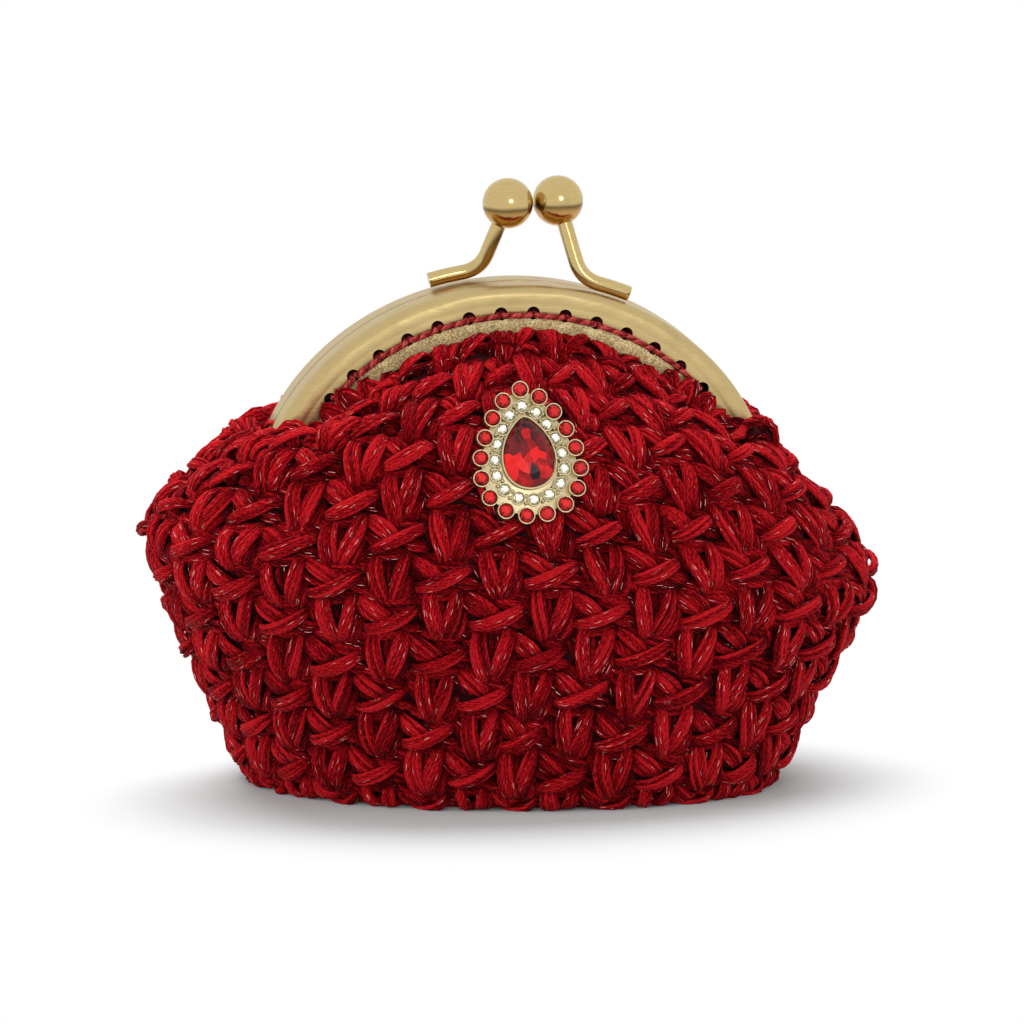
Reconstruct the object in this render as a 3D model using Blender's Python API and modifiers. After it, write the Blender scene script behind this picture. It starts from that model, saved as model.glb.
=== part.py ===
"""A crochet coin purse: a soft bag gathered into a two-part kiss-lock frame, with a stone brooch.

Metres, +Z up. The origin is the middle of the bag's flat base, X runs along the frame, and the
brooch faces -Y. The two frame halves swing about one hinge axis along X.
"""

import math

import bmesh
import bpy
from mathutils import Matrix, Vector

MM = 0.001
QUARTER_TURN = math.pi / 2
SHARP_ANGLE = math.radians(40)
WELD_DISTANCE = 0.01 * MM

# Clasp frame. Each half is one strip of sheet, bent along its length into a rim and a plate
ARCH_HALF_WIDTH = 43.6 * MM
ARCH_HEIGHT = 38.6 * MM
HINGE_HEIGHT = 46.4 * MM
SHEET = 0.8 * MM
RIM_DEPTH = 6.5 * MM
PLATE_DEPTH = 8.1 * MM
PLATE_END_DEPTH = 4.5 * MM
FOLD_RADIUS = 2.9 * MM
SEAM_GAP = 0.3 * MM
LEG_LENGTH = 3.0 * MM
NOTCH_DEPTH = 3.3 * MM
NOTCH_START = math.radians(27)
NOTCH_END = math.radians(10)
PLATE_FULL_ANGLE = math.radians(32)
ARCH_STEPS = 28
FOLD_STEPS = 3

# Hinge ears and rivets. The rear ears are stepped inwards, behind the front ones
EAR_RADIUS = 3.0 * MM
EAR_SHEET = 0.7 * MM
EAR_GAP = 0.4 * MM
EAR_ARC = math.radians(55)
EAR_STEPS = 10
PIN_RADIUS = 0.9 * MM
PIN_CLEARANCE = 0.2 * MM
HEAD_RADIUS = 1.9 * MM
HEAD_HEIGHT = 0.6 * MM
HEAD_GAP = 0.3 * MM
PIN_SIDES = 12

# Sewing holes along the plate and the thread that runs through them
HOLE_PITCH = 5.4 * MM
HOLE_RADIUS = 1.1 * MM
HOLE_INSET = 4.5 * MM
HOLE_COUNT = 14
HOLE_SIDES = 8
THREAD_RADIUS = 0.36 * MM
THREAD_CLEARANCE = 0.1 * MM
CUT_OVERRUN = 1.0 * MM
JOIN_OVERLAP = 0.1 * MM
ARC_SAMPLES = 400

# Kiss-lock clasp: a wire stem on each half, with a ball that snaps past the other
CLASP_OFFSET = 3.7 * MM
BALL_RADIUS = 4.2 * MM
BALL_GAP = 0.3 * MM
BALL_RISE = 13.0 * MM
BALL_HEIGHT = HINGE_HEIGHT + ARCH_HEIGHT + BALL_RISE
BALL_CROSSING = 0.8 * MM
BALL_PROFILE_STEPS = 8
BALL_SIDES = 16
WIRE_RADIUS = 1.25 * MM
SOCKET_CLEARANCE = 0.15 * MM
SOCKET_DEPTH = 2.0 * MM
FRONT_BEND_REACH = 7.3 * MM
FRONT_FOOT_REACH = 15.0 * MM
REAR_BEND_REACH = 8.2 * MM
REAR_FOOT_REACH = 16.6 * MM
BEND_LENGTH = 3.2 * MM
BEND_STEPS = 6
FOOT_STEPS = 4
WIRE_ROUND_STEPS = 2
THREAD_ROUND_STEPS = 0

# Crochet bag. Its rings run from the flat base over the belly and the shoulders to the frame's lip
BASE_HALF_WIDTH = 45.6 * MM
BASE_HALF_DEPTH = 25.4 * MM
BASE_ROUND = 3.0 * MM
BASE_ROUND_HEIGHT = 1.6 * MM
BELLY_HALF_WIDTH = 61.8 * MM
BELLY_HALF_DEPTH = 30.8 * MM
BELLY_HEIGHT = 38.5 * MM
SHOULDER_SPREAD = 5.6 * MM
SHOULDER_HALF_WIDTH = ARCH_HALF_WIDTH + SHOULDER_SPREAD
SHOULDER_HALF_DEPTH = 22.4 * MM
SHOULDER_SIDE_RISE = 7.2 * MM
SHOULDER_SIDE_HEIGHT = HINGE_HEIGHT + SHOULDER_SIDE_RISE
SHOULDER_FRONT_RISE = 17.0 * MM
SHOULDER_FRONT_HEIGHT = HINGE_HEIGHT + SHOULDER_FRONT_RISE
LIP_DROP = 0.8 * MM
LIP_COVER = 3.0 * MM
BASE_TWIST = math.radians(-11)
# For the rings between base and belly: swell in width, swell in depth, height, twist
LOWER_RING_SHARES = ((0.14, 0.25, 0.16, 1.0), (0.39, 0.55, 0.40, 0.7), (0.74, 0.82, 0.70, 0.3))
# For the ring between belly and shoulder: in width, in depth, in height
UPPER_RING_SHARES = (0.37, 0.25, 0.62)
# Points on each ring lie on a rounded oval of this exponent
OVAL_SHARE = 0.87
BASE_OVAL_SHARE = 0.96
# The belly sits this much lower on the right than in the middle, and higher on the left
BELLY_SLANT = 6.0 * MM
SHOULDER_SLANT = 3.0 * MM
LIP_START = math.radians(21)
LIP_END = math.radians(34)
CROCHET_WALL = 4.4 * MM
HEM_WALL = 2.2 * MM
BASE_WALL = 4.4 * MM
WALL_RISE_SHARE = 2.5
WALL_RISE_LEVEL_SHARE = 6.2
SOFT_GAP = 0.3 * MM
TANGENT_SHARE = 0.01
BELLY_LEVEL_SHARE = 5
LIP_LEVEL_SHARE = 8

# The bag's lower pouch rises at the two sides, and the front and rear panels fill what is between
POUCH_SIDE_LEVEL_SHARE = 6.85
POUCH_FRONT_LEVEL_SHARE = 4.3
POUCH_SIDE_ANGLE = math.radians(6)
POUCH_FRONT_ANGLE = math.radians(66)
PANEL_GAP_LEVEL_SHARE = 0.06
PANEL_START = math.radians(24)
POUCH_STEPS = 16
PANEL_STEPS = 8
POUCH_INSIDE_SHARES = (0, 0.12, 0.42, 0.74, 1)
PANEL_INSIDE_SHARES = (0, 0.3, 0.62, 0.86)
# The stitches stand in columns round the bag and in rows up its wall, and bulge between them
COLUMN_COUNT = 34
FIRST_COLUMN = 2.0 * MM
ROW_HEIGHT = 7.2 * MM
FIRST_ROW = 4.6 * MM
STITCH_RELIEF = 1.5 * MM
LIP_FADE_SHARE = 1.5
WALL_SAMPLES = 96
HEM_OVER_HOLES = 1.5 * MM
HEM_THICKNESS = 1.6 * MM
HEM_HOLE_SIDES = 4
HEM_ANGLE = math.radians(21)
HEM_STEPS = 16

# Lining
LINING = 0.6 * MM
LINING_GAP = 1.2 * MM
LINING_START = math.radians(34)
LINING_SHARES = (0, 0.3, 0.62, 0.78)

# Brooch: a tear-shaped stone in two rings of small stones, in its own axes (right, up, outwards)
BROOCH_RISE = 13.8 * MM
BROOCH_HEIGHT = HINGE_HEIGHT + BROOCH_RISE
BROOCH_OFFSET = -1.3 * MM
BROOCH_TILT = math.radians(5)
BROOCH_LEAN = math.radians(4)
RED_RING_HALF_WIDTH = 7.85 * MM
RED_RING_HALF_HEIGHT = 10.5 * MM
CLEAR_RING_HALF_WIDTH = 5.45 * MM
CLEAR_RING_HALF_HEIGHT = 7.8 * MM
RED_RADIUS = 1.15 * MM
CLEAR_RADIUS = 0.88 * MM
RED_COUNT = 17
CLEAR_COUNT = 16
STONE_CLEARANCE = 0.12 * MM
CUP_WALL = 0.2 * MM
PLATE_THICKNESS = 1.0 * MM
CUP_HEIGHT = 0.9 * MM
CUP_SIDES = 6
GEM_HALF_WIDTH = 4.1 * MM
GEM_HALF_HEIGHT = 5.8 * MM
GEM_GIRDLE = 0.8 * MM
GEM_CROWN = 1.3 * MM
GEM_TABLE_SHARE = 0.55
GEM_SIDES = 16
EGG_SHARE = 0.33
PEAR_SHARE = 0.22
STONE_GIRDLE_SHARE = 0.5
STONE_CROWN_SHARE = 0.6
STONE_TABLE_SHARE = 0.5
SEAT_GAP = 0.3 * MM


def collection(name):
    found = bpy.data.collections.new(name)
    bpy.context.scene.collection.children.link(found)
    return found


for old in list(bpy.data.objects):
    bpy.data.objects.remove(old)
PURSE = collection("crochet_coin_purse")
CUTTERS = collection("cutters")


def finish(name, colour, roughness, metallic):
    """A plain material with the piece's colour, for this file's own views."""
    material = bpy.data.materials.new(name)
    material.use_nodes = True
    shader = material.node_tree.nodes["Principled BSDF"]
    shader.inputs["Base Color"].default_value = (*colour, 1)
    shader.inputs["Roughness"].default_value = roughness
    shader.inputs["Metallic"].default_value = metallic
    material.diffuse_color = (*colour, 1)
    return material


GOLD = finish("pale_gold", (0.62, 0.48, 0.22), 0.25, 1)
YARN = finish("crimson_yarn", (0.42, 0.006, 0.02), 0.8, 0)
LINING_CLOTH = finish("maroon_lining", (0.12, 0.008, 0.012), 0.6, 0)
SEWING_THREAD = finish("red_thread", (0.35, 0.02, 0.03), 0.7, 0)
RED_GLASS = finish("red_glass", (0.5, 0.01, 0.015), 0.05, 0)
CLEAR_GLASS = finish("clear_glass", (0.8, 0.76, 0.6), 0.05, 0)


def add(name, data, material, group):
    made = bpy.data.objects.new(name, data)
    if not data.materials:
        data.materials.append(material)
    group.objects.link(made)
    return made


def smooth(share):
    share = min(max(share, 0), 1)
    return share * share * (3 - 2 * share)


def between(low, high, share):
    return low + (high - low) * share


def walked(points):
    """The length along the points up to each of them."""
    lengths = [0]
    for before, after in zip(points, points[1:]):
        lengths.append(lengths[-1] + (after - before).length)
    return lengths


def cap(start, count):
    """A strip of faces across a section, from its first and last points to its middle ones."""
    faces = []
    for k in range(count // 2 - 1):
        faces.append([start + k, start + k + 1, start + count - k - 2, start + count - k - 1])
    if count % 2:
        middle = start + count // 2
        faces.append([middle - 1, middle, middle + 1])
    return faces


def loft(name, sections, material, group):
    """A closed solid through sections of equal point counts, with a cap on the first and the last."""
    count = len(sections[0])
    points = [point for section in sections for point in section]
    faces = cap(0, count) + cap(len(points) - count, count)
    for start in range(0, len(points) - count, count):
        for k in range(count):
            after = (k + 1) % count
            faces.append([start + k, start + after, start + count + after, start + count + k])
    mesh = bpy.data.meshes.new(name)
    mesh.from_pydata(points, [], faces)
    shaped = bmesh.new()
    shaped.from_mesh(mesh)
    bmesh.ops.recalc_face_normals(shaped, faces=shaped.faces)
    shaped.to_mesh(mesh)
    shaped.free()
    mesh.shade_smooth()
    mesh.set_sharp_from_angle(angle=SHARP_ANGLE)
    return add(name, mesh, material, group)


def turned(name, profile, sides, material, group):
    """A solid of revolution about its own Z. The profile, at +X, runs down its outer side."""
    mesh = bpy.data.meshes.new(name)
    points = [(across, 0, up) for across, up in profile]
    mesh.from_pydata(points, [(k, k + 1) for k in range(len(points) - 1)], [])
    made = add(name, mesh, material, group)
    screw = made.modifiers.new("turn", "SCREW")
    screw.steps = screw.render_steps = sides
    screw.use_merge_vertices = True
    screw.merge_threshold = WELD_DISTANCE
    return made


def wire(name, points, radius, resolution, material, group):
    """A round wire or thread along the points, with filled ends."""
    curve = bpy.data.curves.new(name, "CURVE")
    curve.dimensions = "3D"
    curve.bevel_depth = radius
    curve.bevel_resolution = resolution
    curve.use_fill_caps = True
    spline = curve.splines.new("POLY")
    spline.points.add(len(points) - 1)
    for target, point in zip(spline.points, points):
        target.co = (*point, 1)
    return add(name, curve, material, group)


def flat_outline(name, outline, thickness, material, group):
    """A flat plate of that outline, made a mesh so that it can be joined and cut."""
    curve = bpy.data.curves.new(name, "CURVE")
    curve.dimensions = "2D"
    curve.fill_mode = "BOTH"
    curve.extrude = thickness / 2
    spline = curve.splines.new("POLY")
    spline.points.add(len(outline) - 1)
    for target, (across, up) in zip(spline.points, outline):
        target.co = (across, up, 0, 1)
    spline.use_cyclic_u = True
    drawn = add(name + "_curve", curve, material, group)
    bpy.context.view_layer.update()
    graph = bpy.context.evaluated_depsgraph_get()
    mesh = bpy.data.meshes.new_from_object(drawn.evaluated_get(graph))
    bpy.data.objects.remove(drawn)
    welded = bmesh.new()
    welded.from_mesh(mesh)
    bmesh.ops.remove_doubles(welded, verts=welded.verts, dist=WELD_DISTANCE)
    welded.to_mesh(mesh)
    welded.free()
    mesh.name = name
    return add(name, mesh, material, group)


def cylinder(name, radius, low, high, sides, material, group):
    """A cylinder about its own Z, from low to high."""
    shaped = bmesh.new()
    bmesh.ops.create_cone(
        shaped, cap_ends=True, segments=sides, radius1=radius, radius2=radius, depth=high - low
    )
    bmesh.ops.translate(shaped, verts=shaped.verts, vec=(0, 0, (low + high) / 2))
    mesh = bpy.data.meshes.new(name)
    shaped.to_mesh(mesh)
    shaped.free()
    return add(name, mesh, material, group)


def block(name, low, high, material, group):
    shaped = bmesh.new()
    bmesh.ops.create_cube(shaped, size=1)
    bmesh.ops.scale(shaped, verts=shaped.verts, vec=Vector(high) - Vector(low))
    bmesh.ops.translate(shaped, verts=shaped.verts, vec=(Vector(low) + Vector(high)) / 2)
    mesh = bpy.data.meshes.new(name)
    shaped.to_mesh(mesh)
    shaped.free()
    return add(name, mesh, material, group)


def combine(target, tool, operation):
    """Cuts or joins a helper solid, and puts the helper away as a guide."""
    step = target.modifiers.new(operation.lower() + "_" + tool.name, "BOOLEAN")
    step.operation = operation
    step.object = tool
    tool.hide_render = True
    tool.display_type = "WIRE"


def along_x(made, place):
    """Turns a piece whose own axis is Z so that the axis runs along X, at that place."""
    made.rotation_euler = (QUARTER_TURN, 0, QUARTER_TURN)
    made.location = place
    return made


# The arch


def plate_depth(angle):
    """How far the plate reaches inwards from the arch's outside; it narrows towards the hinges."""
    from_hinge = min(angle, math.pi - angle)
    return between(PLATE_END_DEPTH, PLATE_DEPTH, smooth(from_hinge / PLATE_FULL_ANGLE))


def arch_point(angle, inward, side, depth):
    """A point of a half: angle from the right hinge, inward from the outside, depth from the seam."""
    outside = Vector((ARCH_HALF_WIDTH * math.cos(angle), 0, ARCH_HEIGHT * math.sin(angle)))
    normal = Vector((math.cos(angle) / ARCH_HALF_WIDTH, 0, math.sin(angle) / ARCH_HEIGHT))
    point = outside - normal.normalized() * inward
    return Vector((point.x, side * depth, HINGE_HEIGHT + point.z))


def strip_section(reach, notch):
    """The bent strip as (inward, depth) points: along the rim, round the fold, down the plate, back."""
    turn = [QUARTER_TURN * k / FOLD_STEPS for k in range(FOLD_STEPS + 1)]
    centre = RIM_DEPTH - FOLD_RADIUS
    inner = FOLD_RADIUS - SHEET
    outside = [
        (FOLD_RADIUS * (1 - math.cos(a)), centre + FOLD_RADIUS * math.sin(a)) for a in turn
    ]
    inside = [(FOLD_RADIUS - inner * math.cos(a), centre + inner * math.sin(a)) for a in turn]
    ends = [(reach, RIM_DEPTH), (reach, RIM_DEPTH - SHEET)]
    return [(0, notch), *outside, *ends, *reversed(inside), (SHEET, notch)]


def strip_sections(side):
    """The strip's sections from the right leg, over the arch, to the left leg."""
    sections = []
    for k in range(ARCH_STEPS + 1):
        angle = math.pi * k / ARCH_STEPS
        from_hinge = min(angle, math.pi - angle)
        cut_away = smooth((NOTCH_START - from_hinge) / (NOTCH_START - NOTCH_END))
        notch = between(SEAM_GAP / 2, NOTCH_DEPTH, cut_away)
        section = strip_section(plate_depth(angle), notch)
        sections.append([arch_point(angle, inward, side, depth) for inward, depth in section])
    drop = Vector((0, 0, LEG_LENGTH))
    sections.insert(0, [point - drop for point in sections[0]])
    sections.append([point - drop for point in sections[-1]])
    return sections


def hole_angles():
    """Angles on the arch at which the sewing holes lie, one pitch apart along their own line."""
    angles = [math.pi * k / ARC_SAMPLES for k in range(ARC_SAMPLES + 1)]
    lengths = walked([arch_point(angle, HOLE_INSET, 1, 0) for angle in angles])
    start = (lengths[-1] - HOLE_PITCH * (HOLE_COUNT - 1)) / 2
    found = []
    for k in range(HOLE_COUNT):
        wanted = start + k * HOLE_PITCH
        index = next(i for i, length in enumerate(lengths) if length >= wanted)
        found.append(angles[index])
    return found


def hole_cutter(name, side, radius, sides, shallow, deep):
    """All the sewing holes of a half as one cutter, from one depth to another."""
    shaped = bmesh.new()
    for angle in hole_angles():
        middle = arch_point(angle, HOLE_INSET, side, (shallow + deep) / 2)
        turn = Matrix.Rotation(QUARTER_TURN, 4, "X")
        bmesh.ops.create_cone(
            shaped,
            cap_ends=True,
            segments=sides,
            radius1=radius,
            radius2=radius,
            depth=deep - shallow,
            matrix=Matrix.Translation(middle) @ turn,
        )
    mesh = bpy.data.meshes.new(name)
    shaped.to_mesh(mesh)
    shaped.free()
    return add(name, mesh, GOLD, CUTTERS)


def ear_outline(side):
    """A round ear about the hinge with a tab towards its own half, as (depth, up) from the hinge."""
    reach = RIM_DEPTH - FOLD_RADIUS + SHEET
    half_tab = EAR_RADIUS * math.sin(EAR_ARC)
    outline = [(side * reach, -half_tab), (side * reach, half_tab)]
    for k in range(EAR_STEPS + 1):
        angle = between(EAR_ARC, 2 * math.pi - EAR_ARC, k / EAR_STEPS)
        outline.append((side * EAR_RADIUS * math.cos(angle), EAR_RADIUS * math.sin(angle)))
    return outline


FRONT_EAR_MIDDLE = ARCH_HALF_WIDTH - SHEET / 2
REAR_EAR_MIDDLE = FRONT_EAR_MIDDLE - EAR_SHEET - EAR_GAP


def frame_half(name, side, ear_middle):
    """One half of the frame: the bent strip, an ear at each end, the hinge holes and sewing holes."""
    half = loft(name, strip_sections(side), GOLD, PURSE)
    for hand, end in ((1, "right"), (-1, "left")):
        ear = flat_outline(f"{name}_{end}_ear", ear_outline(side), EAR_SHEET, GOLD, CUTTERS)
        combine(half, along_x(ear, (hand * ear_middle, 0, HINGE_HEIGHT)), "UNION")
        if ear_middle < FRONT_EAR_MIDDLE:
            step_joint(half, f"{name}_{end}_step", side, hand)
    bore = cylinder(
        f"{name}_hinge_bore",
        PIN_RADIUS + PIN_CLEARANCE,
        -ARCH_HALF_WIDTH - CUT_OVERRUN,
        ARCH_HALF_WIDTH + CUT_OVERRUN,
        PIN_SIDES,
        GOLD,
        CUTTERS,
    )
    combine(half, along_x(bore, (0, 0, HINGE_HEIGHT)), "DIFFERENCE")
    holes = hole_cutter(
        f"{name}_holes",
        side,
        HOLE_RADIUS,
        HOLE_SIDES,
        RIM_DEPTH - SHEET - CUT_OVERRUN,
        RIM_DEPTH + CUT_OVERRUN,
    )
    combine(half, holes, "DIFFERENCE")
    return half


def step_joint(half, name, side, hand):
    """The short step that carries a rear ear inwards from its rim."""
    inner = REAR_EAR_MIDDLE - EAR_SHEET / 2 + JOIN_OVERLAP
    outer = FRONT_EAR_MIDDLE
    near = EAR_RADIUS + SEAM_GAP + JOIN_OVERLAP
    far = RIM_DEPTH - FOLD_RADIUS + SHEET + JOIN_OVERLAP
    half_tab = EAR_RADIUS * math.sin(EAR_ARC) - JOIN_OVERLAP
    across = sorted((hand * inner, hand * outer))
    deep = sorted((side * near, side * far))
    low = (across[0], deep[0], HINGE_HEIGHT - half_tab)
    high = (across[1], deep[1], HINGE_HEIGHT + half_tab)
    combine(half, block(name, low, high, GOLD, CUTTERS), "UNION")


def rivet(name, hand):
    """A pin with a head outside the front ear and another inside the rear ear."""
    outer = FRONT_EAR_MIDDLE + EAR_SHEET / 2 + HEAD_GAP
    inner = REAR_EAR_MIDDLE - EAR_SHEET / 2 - HEAD_GAP
    edge = HEAD_RADIUS - HEAD_HEIGHT / 2
    profile = [
        (0, outer + HEAD_HEIGHT),
        (edge, outer + HEAD_HEIGHT),
        (HEAD_RADIUS, outer + HEAD_HEIGHT / 2),
        (HEAD_RADIUS, outer),
        (PIN_RADIUS, outer),
        (PIN_RADIUS, inner),
        (HEAD_RADIUS, inner),
        (HEAD_RADIUS, inner - HEAD_HEIGHT / 2),
        (edge, inner - HEAD_HEIGHT),
        (0, inner - HEAD_HEIGHT),
    ]
    made = turned(name, profile, PIN_SIDES, GOLD, PURSE)
    made.rotation_euler = (0, hand * QUARTER_TURN, 0)
    made.location = (0, 0, HINGE_HEIGHT)
    return made


# The clasp


def angle_at(across):
    """The arch angle at a place along X."""
    return math.acos(across / ARCH_HALF_WIDTH)


def ball_centre(hand, side):
    return Vector(
        (
            CLASP_OFFSET + hand * (BALL_RADIUS + BALL_GAP / 2),
            -side * BALL_CROSSING,
            BALL_HEIGHT,
        )
    )


def stem_corner(hand, side, bend_reach):
    seat = -WIRE_RADIUS - SEAT_GAP
    return arch_point(angle_at(CLASP_OFFSET + hand * bend_reach), seat, side, RIM_DEPTH / 2)


def stem(name, hand, side, bend_reach, foot_reach):
    """A wire whose foot lies along the rim, and which then bends up into its ball."""
    seat = -WIRE_RADIUS - SEAT_GAP
    corner = stem_corner(hand, side, bend_reach)
    centre = ball_centre(hand, side)
    rise = (centre - corner).normalized()
    foot = []
    for k in range(FOOT_STEPS + 1):
        reach = between(foot_reach, bend_reach + BEND_LENGTH, k / FOOT_STEPS)
        foot.append(arch_point(angle_at(CLASP_OFFSET + hand * reach), seat, side, RIM_DEPTH / 2))
    bend = []
    above = corner + rise * BEND_LENGTH
    for k in range(1, BEND_STEPS + 1):
        share = k / BEND_STEPS
        bend.append(foot[-1].lerp(corner, share).lerp(corner.lerp(above, share), share))
    top = centre - rise * (BALL_RADIUS - SOCKET_DEPTH + SEAT_GAP)
    return wire(name, [*foot, *bend, top], WIRE_RADIUS, WIRE_ROUND_STEPS, GOLD, PURSE)


def ball(name, hand, side, bend_reach):
    """A turned ball with a blind socket underneath for its stem."""
    socket = WIRE_RADIUS + SOCKET_CLEARANCE
    lowest = math.pi - math.asin(socket / BALL_RADIUS)
    angles = [lowest * k / BALL_PROFILE_STEPS for k in range(BALL_PROFILE_STEPS + 1)]
    profile = [(BALL_RADIUS * math.sin(a), BALL_RADIUS * math.cos(a)) for a in angles]
    profile += [(socket, SOCKET_DEPTH - BALL_RADIUS), (0, SOCKET_DEPTH - BALL_RADIUS)]
    made = turned(name, profile, BALL_SIDES, GOLD, PURSE)
    centre = ball_centre(hand, side)
    rise = (centre - stem_corner(hand, side, bend_reach)).normalized()
    made.rotation_mode = "QUATERNION"
    made.rotation_quaternion = Vector((0, 0, 1)).rotation_difference(rise)
    made.location = centre
    return made


# The sewing thread


def stitch_point(angle, along, above, side, depth):
    """A place near a hole: along the arch, above the holes' line, and at a depth."""
    point = arch_point(angle, HOLE_INSET - above, side, depth)
    ahead = arch_point(angle + math.pi / ARC_SAMPLES, HOLE_INSET - above, side, depth) - point
    return point + ahead.normalized() * along


def thread(name, side):
    """Backstitch: each front stitch steps one hole back, and each rear stitch two holes on."""
    apart = THREAD_RADIUS + THREAD_CLEARANCE
    outside = RIM_DEPTH + SEAT_GAP + THREAD_RADIUS
    hem_back = RIM_DEPTH - SHEET - SOFT_GAP - HEM_THICKNESS
    layers = [hem_back - SOFT_GAP - THREAD_RADIUS]
    layers.append(layers[0] - 2 * THREAD_RADIUS - THREAD_CLEARANCE)
    bypass = 2 * apart + THREAD_CLEARANCE
    holes = hole_angles()
    points = []
    for k in range(1, HOLE_COUNT):
        layer = layers[k % 2]
        points.append(stitch_point(holes[k], -apart, 0, side, layer))
        points.append(stitch_point(holes[k], -apart, 0, side, outside))
        points.append(stitch_point(holes[k - 1], apart, 0, side, outside))
        if k + 1 < HOLE_COUNT:
            following = layers[(k + 1) % 2]
            points.append(stitch_point(holes[k - 1], apart, 0, side, following))
            points.append(stitch_point(holes[k], 0, bypass, side, following))
    points.append(stitch_point(holes[-2], apart, 0, side, layers[0]))
    return wire(name, points, THREAD_RADIUS, THREAD_ROUND_STEPS, SEWING_THREAD, PURSE)


# The crochet bag


def oval(angle, half_width, half_depth, side_height, front_height, slant, share, twist):
    """A point on a ring whose height may differ between the sides and the middle, and may slant."""
    across = math.copysign(abs(math.cos(angle)) ** share, math.cos(angle)) * half_width
    deep = math.copysign(abs(math.sin(angle)) ** share, math.sin(angle)) * half_depth
    height = between(side_height, front_height, abs(math.sin(angle))) - slant * math.cos(angle)
    return Vector(
        (
            across * math.cos(twist) - deep * math.sin(twist),
            across * math.sin(twist) + deep * math.cos(twist),
            height,
        )
    )


def lip_point(angle):
    """Where the bag meets the frame: under the plate's lip or, near a hinge, across its front."""
    on_arch, reach, depth = lip_place(angle)
    return arch_point(on_arch, reach, math.copysign(1, math.sin(angle)), depth)


def lip_place(angle):
    """The bag's edge at the frame, as an angle on the arch, a reach inwards and a depth."""
    from_side = math.asin(abs(math.sin(angle)))
    on_arch = max(from_side, LIP_START)
    if math.cos(angle) < 0:
        on_arch = math.pi - on_arch
    reach = plate_depth(on_arch) + LIP_DROP
    crossed = smooth((from_side - LIP_START) / (LIP_END - LIP_START))
    depth = (RIM_DEPTH + LIP_COVER) * smooth(from_side / LIP_START)
    return on_arch, between(-LIP_DROP, reach, crossed), depth


def rings(angle):
    """The bag's outside at one angle round Z: a point for each ring, from the base to the lip."""
    base = (BASE_HALF_WIDTH, BASE_HALF_DEPTH)
    sole = (size - BASE_ROUND for size in base)
    rise = BASE_ROUND_HEIGHT
    found = [oval(angle, *sole, 0, 0, 0, BASE_OVAL_SHARE, BASE_TWIST)]
    found.append(oval(angle, *base, rise, rise, 0, BASE_OVAL_SHARE, BASE_TWIST))
    for wide, deep, high, twisted in LOWER_RING_SHARES:
        half_width = between(BASE_HALF_WIDTH, BELLY_HALF_WIDTH, wide)
        half_depth = between(BASE_HALF_DEPTH, BELLY_HALF_DEPTH, deep)
        height = BELLY_HEIGHT * high
        slant = BELLY_SLANT * high * high
        share = between(BASE_OVAL_SHARE, OVAL_SHARE, wide)
        twist = BASE_TWIST * twisted
        found.append(oval(angle, half_width, half_depth, height, height, slant, share, twist))
    belly = (BELLY_HALF_WIDTH, BELLY_HALF_DEPTH, BELLY_HEIGHT, BELLY_HEIGHT, BELLY_SLANT)
    found.append(oval(angle, *belly, OVAL_SHARE, 0))
    wide, deep, high = UPPER_RING_SHARES
    above = (
        between(BELLY_HALF_WIDTH, SHOULDER_HALF_WIDTH, wide),
        between(BELLY_HALF_DEPTH, SHOULDER_HALF_DEPTH, deep),
        between(BELLY_HEIGHT, SHOULDER_SIDE_HEIGHT, high),
        between(BELLY_HEIGHT, SHOULDER_FRONT_HEIGHT, high - deep),
        between(BELLY_SLANT, SHOULDER_SLANT, high),
    )
    found.append(oval(angle, *above, OVAL_SHARE, 0))
    shoulder = (
        SHOULDER_HALF_WIDTH,
        SHOULDER_HALF_DEPTH,
        SHOULDER_SIDE_HEIGHT,
        SHOULDER_FRONT_HEIGHT,
        SHOULDER_SLANT,
    )
    found.append(oval(angle, *shoulder, OVAL_SHARE, 0))
    found.append(lip_point(angle))
    return found


def column_angle(angle, level):
    """Keeps the columns of stitches apart as the bag narrows to its base; they crowd at the sides."""
    narrowed = BELLY_HALF_WIDTH / BASE_HALF_WIDTH - 1
    share = smooth((BELLY_LEVEL_SHARE - level) / (BELLY_LEVEL_SHARE - 1))
    return angle - narrowed * share / 2 * math.sin(2 * angle)


def on_bag(angle, level):
    """A point on the bag's outside, on a smooth curve through the rings. Negative angles are in front."""
    points = rings(column_angle(angle, level))
    last = len(points) - 1
    below = min(int(level), last - 1)
    above = below + 1
    share = level - below
    a = points[max(below - 1, 0)]
    b = points[below]
    c = points[above]
    d = points[min(above + 1, last)]
    slope_b = (c - a) / 2
    slope_c = (d - b) / 2
    squared = share * share
    cubed = squared * share
    return (
        b * (2 * cubed - 3 * squared + 1)
        + slope_b * (cubed - 2 * squared + share)
        + c * (3 * squared - 2 * cubed)
        + slope_c * (cubed - squared)
    )


def bag_normal(angle, level):
    """The outward direction of the bag's outside there."""
    lower = max(level - TANGENT_SHARE, 0)
    upper = min(level + TANGENT_SHARE, LIP_LEVEL_SHARE)
    round_it = on_bag(angle + TANGENT_SHARE, level) - on_bag(angle - TANGENT_SHARE, level)
    up_it = on_bag(angle, upper) - on_bag(angle, lower)
    return round_it.cross(up_it).normalized()


def crochet_wall(level):
    share = smooth((level - BELLY_LEVEL_SHARE) / (LIP_LEVEL_SHARE - BELLY_LEVEL_SHARE))
    return between(CROCHET_WALL, HEM_WALL, share)


def outward(angle, level):
    """The way the crochet's thickness runs: level round the belly, and rising towards the frame."""
    across = math.cos(angle) / BELLY_HALF_WIDTH
    deep = math.sin(angle) / BELLY_HALF_DEPTH
    way = Vector((across, deep, 0)).normalized()
    rise = smooth((level - WALL_RISE_LEVEL_SHARE) / (LIP_LEVEL_SHARE - WALL_RISE_LEVEL_SHARE))
    way.z = WALL_RISE_SHARE * rise
    return way.normalized()


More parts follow.
